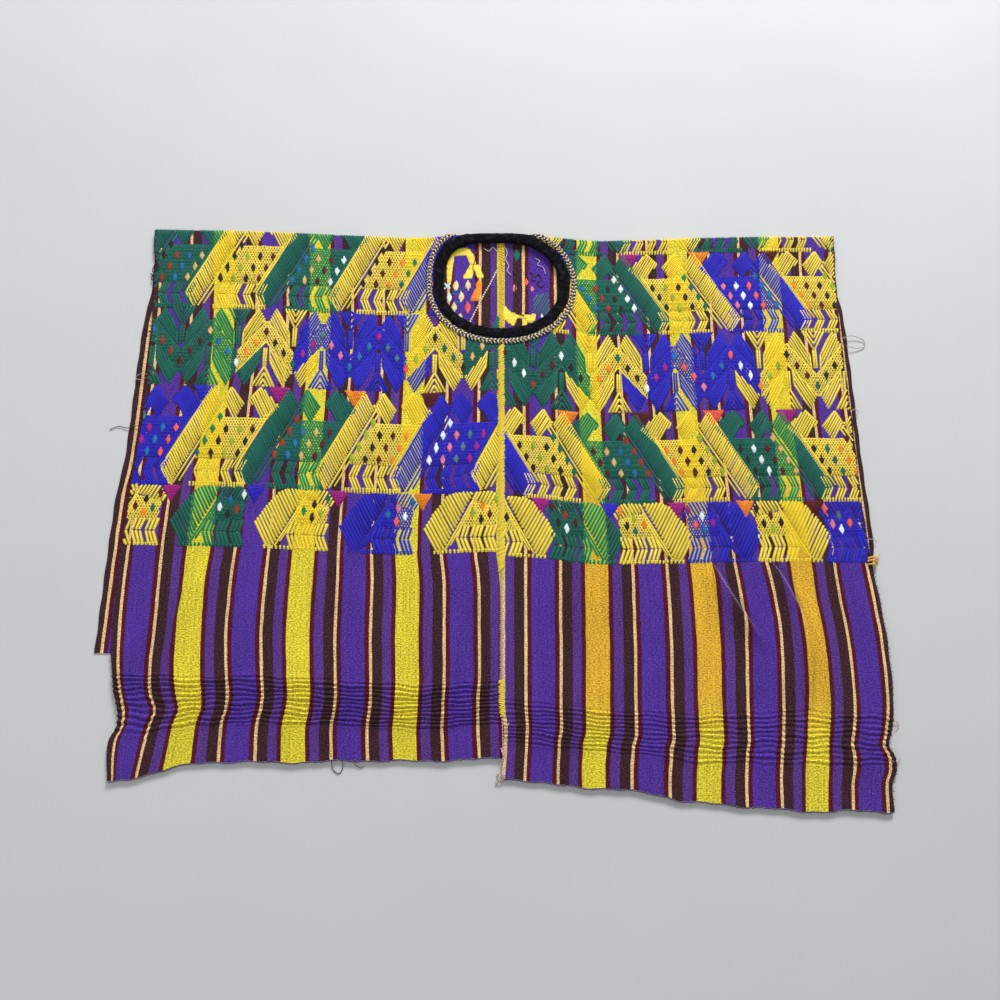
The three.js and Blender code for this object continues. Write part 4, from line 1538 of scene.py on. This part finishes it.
paleEnds = threadPiece(
    "pale_thread_ends", sewingPale,
    (0.4, ((-428, -188, 6), (-437, -187, 4), (-443, -191, 2.5), (-438, -194, 3.5), (-429, -193, 5.8))),
    (0.5, ((420, -141, 5), (432, -137, 4), (446, -142, 2), (447, -150, 1.5), (436, -153, 3), (424, -151, 5))),
    (0.4, ((420, -236, 5.5), (427, -232, 4), (431, -236, 3), (427, -240, 4.5))),
    (0.4, ((424, -392, 6), (433, -391, 4.5), (437, -395, 2.5))),
    (0.42, ((430, -594, 5), (438, -596, 2.5), (441, -601, 1.2), (436, -603, 3))),
    (0.42, ((428, -637, 5), (436, -639, 2), (439, -635, 1.2))),
    (0.5, ((10, -597, 6.4), (8.5, -600, 7), (6.5, -606, 6.8), (6, -609, 5.8))),
)
roseEnds = threadPiece(
    "rose_slit_thread", sewingRose,
    (0.55, ((1.5, -583, 6.2), (2.2, -592, 6.4), (2.8, -604, 6.4), (3.2, -616, 6.2), (3.4, -627, 6.4))),
    (0.9, ((1.5, -624, 5.6), (2.6, -628, 7.2), (4.2, -633, 7), (3.2, -637, 5.8))),
    (0.4, ((3.2, -634, 6.5), (2, -640, 4), (3, -645, 2))),
)
darkEnds = threadPiece(
    "dark_thread_ends", sewingDark,
    (0.5, ((-427, -126, 6), (-434, -124, 4.5), (-440, -128, 2.5), (-436, -132, 3), (-428, -131, 5.8))),
    (0.6, ((-428, -38, 8), (-435, -48, 4), (-431, -56, 3), (-425, -62, 6.5))),
    (0.6, ((-426, -42, 8), (-432, -52, 4.5), (-436, -60, 2.5), (-427, -66, 6.5))),
    (0.5, ((-424, -46, 8), (-430, -49, 6), (-434, -55, 3), (-438, -52, 2))),
    (0.45, ((-430, -252, 5), (-446, -255, 2), (-458, -253, 1.2), (-468, -257, 1))),
    (0.45, ((-184, -636, 5), (-183, -646, 1.2), (-176, -651, 0.9), (-172, -644, 1.6), (-173, -635, 5))),
    (0.35, ((-160, -636, 5), (-158, -642, 2), (-152, -645, 1), (-149, -643, 1))),
)
hemKnot = threadPiece(
    "slit_corner_knot", sewingPale,
    (0.8, ((-2, -650, 6), (-3.5, -654, 4.5), (-1, -658, 3.5), (3, -656, 5), (3, -651, 6.2))),
    (0.8, ((3, -650, 6), (4, -655, 4.8), (1, -659, 3), (-3, -657, 4), (-2, -652, 6.4))),
    (0.4, ((0, -656, 4), (-3, -661, 1.5), (-5, -664, 0.8))),
)
armholeKnot = threadPiece(
    "armhole_knot", sewingOrange,
    (1.1, ((423, -414, 6.5), (428.5, -412.5, 8.2), (434, -414.5, 5), (433, -417.5, 2.5))),
    (1.1, ((422.5, -417, 6.5), (428, -416, 8.4), (434, -418, 5), (433, -421, 2.5))),
    (0.9, ((423, -420.5, 6.2), (428.5, -420.5, 7.6), (433.5, -421.5, 4.5))),
    (0.4, ((430, -418, 7), (436, -413, 4), (439, -409, 2.5))),
)
print("sewn")


# Each panel's area less its half of the neck hole, which is worked out and not used

neckArea = 0.0068  # each panel's half of the hole, in square metres
sheets = (
    (leftCloth, leftPanel, [
        leftBrocade, leftBackBrocade, leftWrongSide, velvetBinding, *braidStrands, mendingStitches,
        hemFringes[0], darkEnds, edgeFuzz[0], insidePale,
    ]),
    (rightCloth, rightPanel, [
        rightBrocade, rightBackBrocade, rightWrongSide, joinStitches, plainJoin, tackStitches, wrongJoin,
        innerJoin, sideStitches, hemFringes[1], paleEnds, roseEnds, hemKnot, armholeKnot, edgeFuzz[1],
        insideDark,
    ]),
)
for piece, panel, trims in sheets:
    width = (panel["edges"][1] - panel["edges"][0]) / 1000
    length = (panel["frontEnd"] + panel["backEnd"]) / 1000
    width * length - neckArea


# The floor, the light and the camera

def floorPiece():
    mesh = bpy.data.meshes.new("floor")
    corners = [(-4, -4, 0), (4, -4, 0), (4, 4, 0), (-4, 4, 0)]
    mesh.from_pydata(corners, [], [(0, 1, 2, 3)])
    paper = Finish("pale_floor", Roughness=0.9)
    grain = paper.node("ShaderNodeTexNoise", {}, {"Scale": 30.0, "Detail": 3.0})
    mesh.materials.append(paper.feed(Base_Color=paper.mix(grain, tint(186, 187, 187), tint(194, 195, 195))))
    addObject("floor", mesh)


room = {"colour": (0.95, 0.96, 1.0, 1.0), "strength": 0.42}
lights = (
    {"name": "window_light", "at": (0.6, 2.5, 1.65), "size": 0.9, "watts": 112},
    {"name": "fill_light", "at": (-1.5, -0.9, 2.2), "size": 2.0, "watts": 18},
)
# The camera's place in millimetres, over the front's face
cameraAt = {"back": -573.2, "high": 969.2, "pitch": 76.715, "lens": 30.6, "sensor": 36}


def setLights():
    world = bpy.data.worlds.new("soft_room")
    world.use_nodes = True
    background = world.node_tree.nodes["Background"]
    background.inputs["Color"].default_value = room["colour"]
    background.inputs["Strength"].default_value = room["strength"]
    bpy.context.scene.world = world
    for light in lights:
        data = bpy.data.lights.new(light["name"], "AREA")
        data.energy = light["watts"]
        data.size = light["size"]
        piece = addObject(light["name"], data)
        piece.location = light["at"]
        piece.rotation_euler = (-Vector(light["at"])).to_track_quat("-Z", "Y").to_euler()


def setCamera():
    data = bpy.data.cameras.new("camera")
    data.lens = cameraAt["lens"]
    data.sensor_width = cameraAt["sensor"]
    piece = addObject("camera", data)
    piece.location = toMetres((0, cameraAt["back"], cameraAt["high"] + restHeight + cloth["outer"]))[0]
    piece.rotation_euler = (math.radians(90 - cameraAt["pitch"]), 0, 0)
    bpy.context.scene.camera = piece


floorPiece()
setLights()
setCamera()
bpy.context.scene.view_settings.view_transform = "Standard"
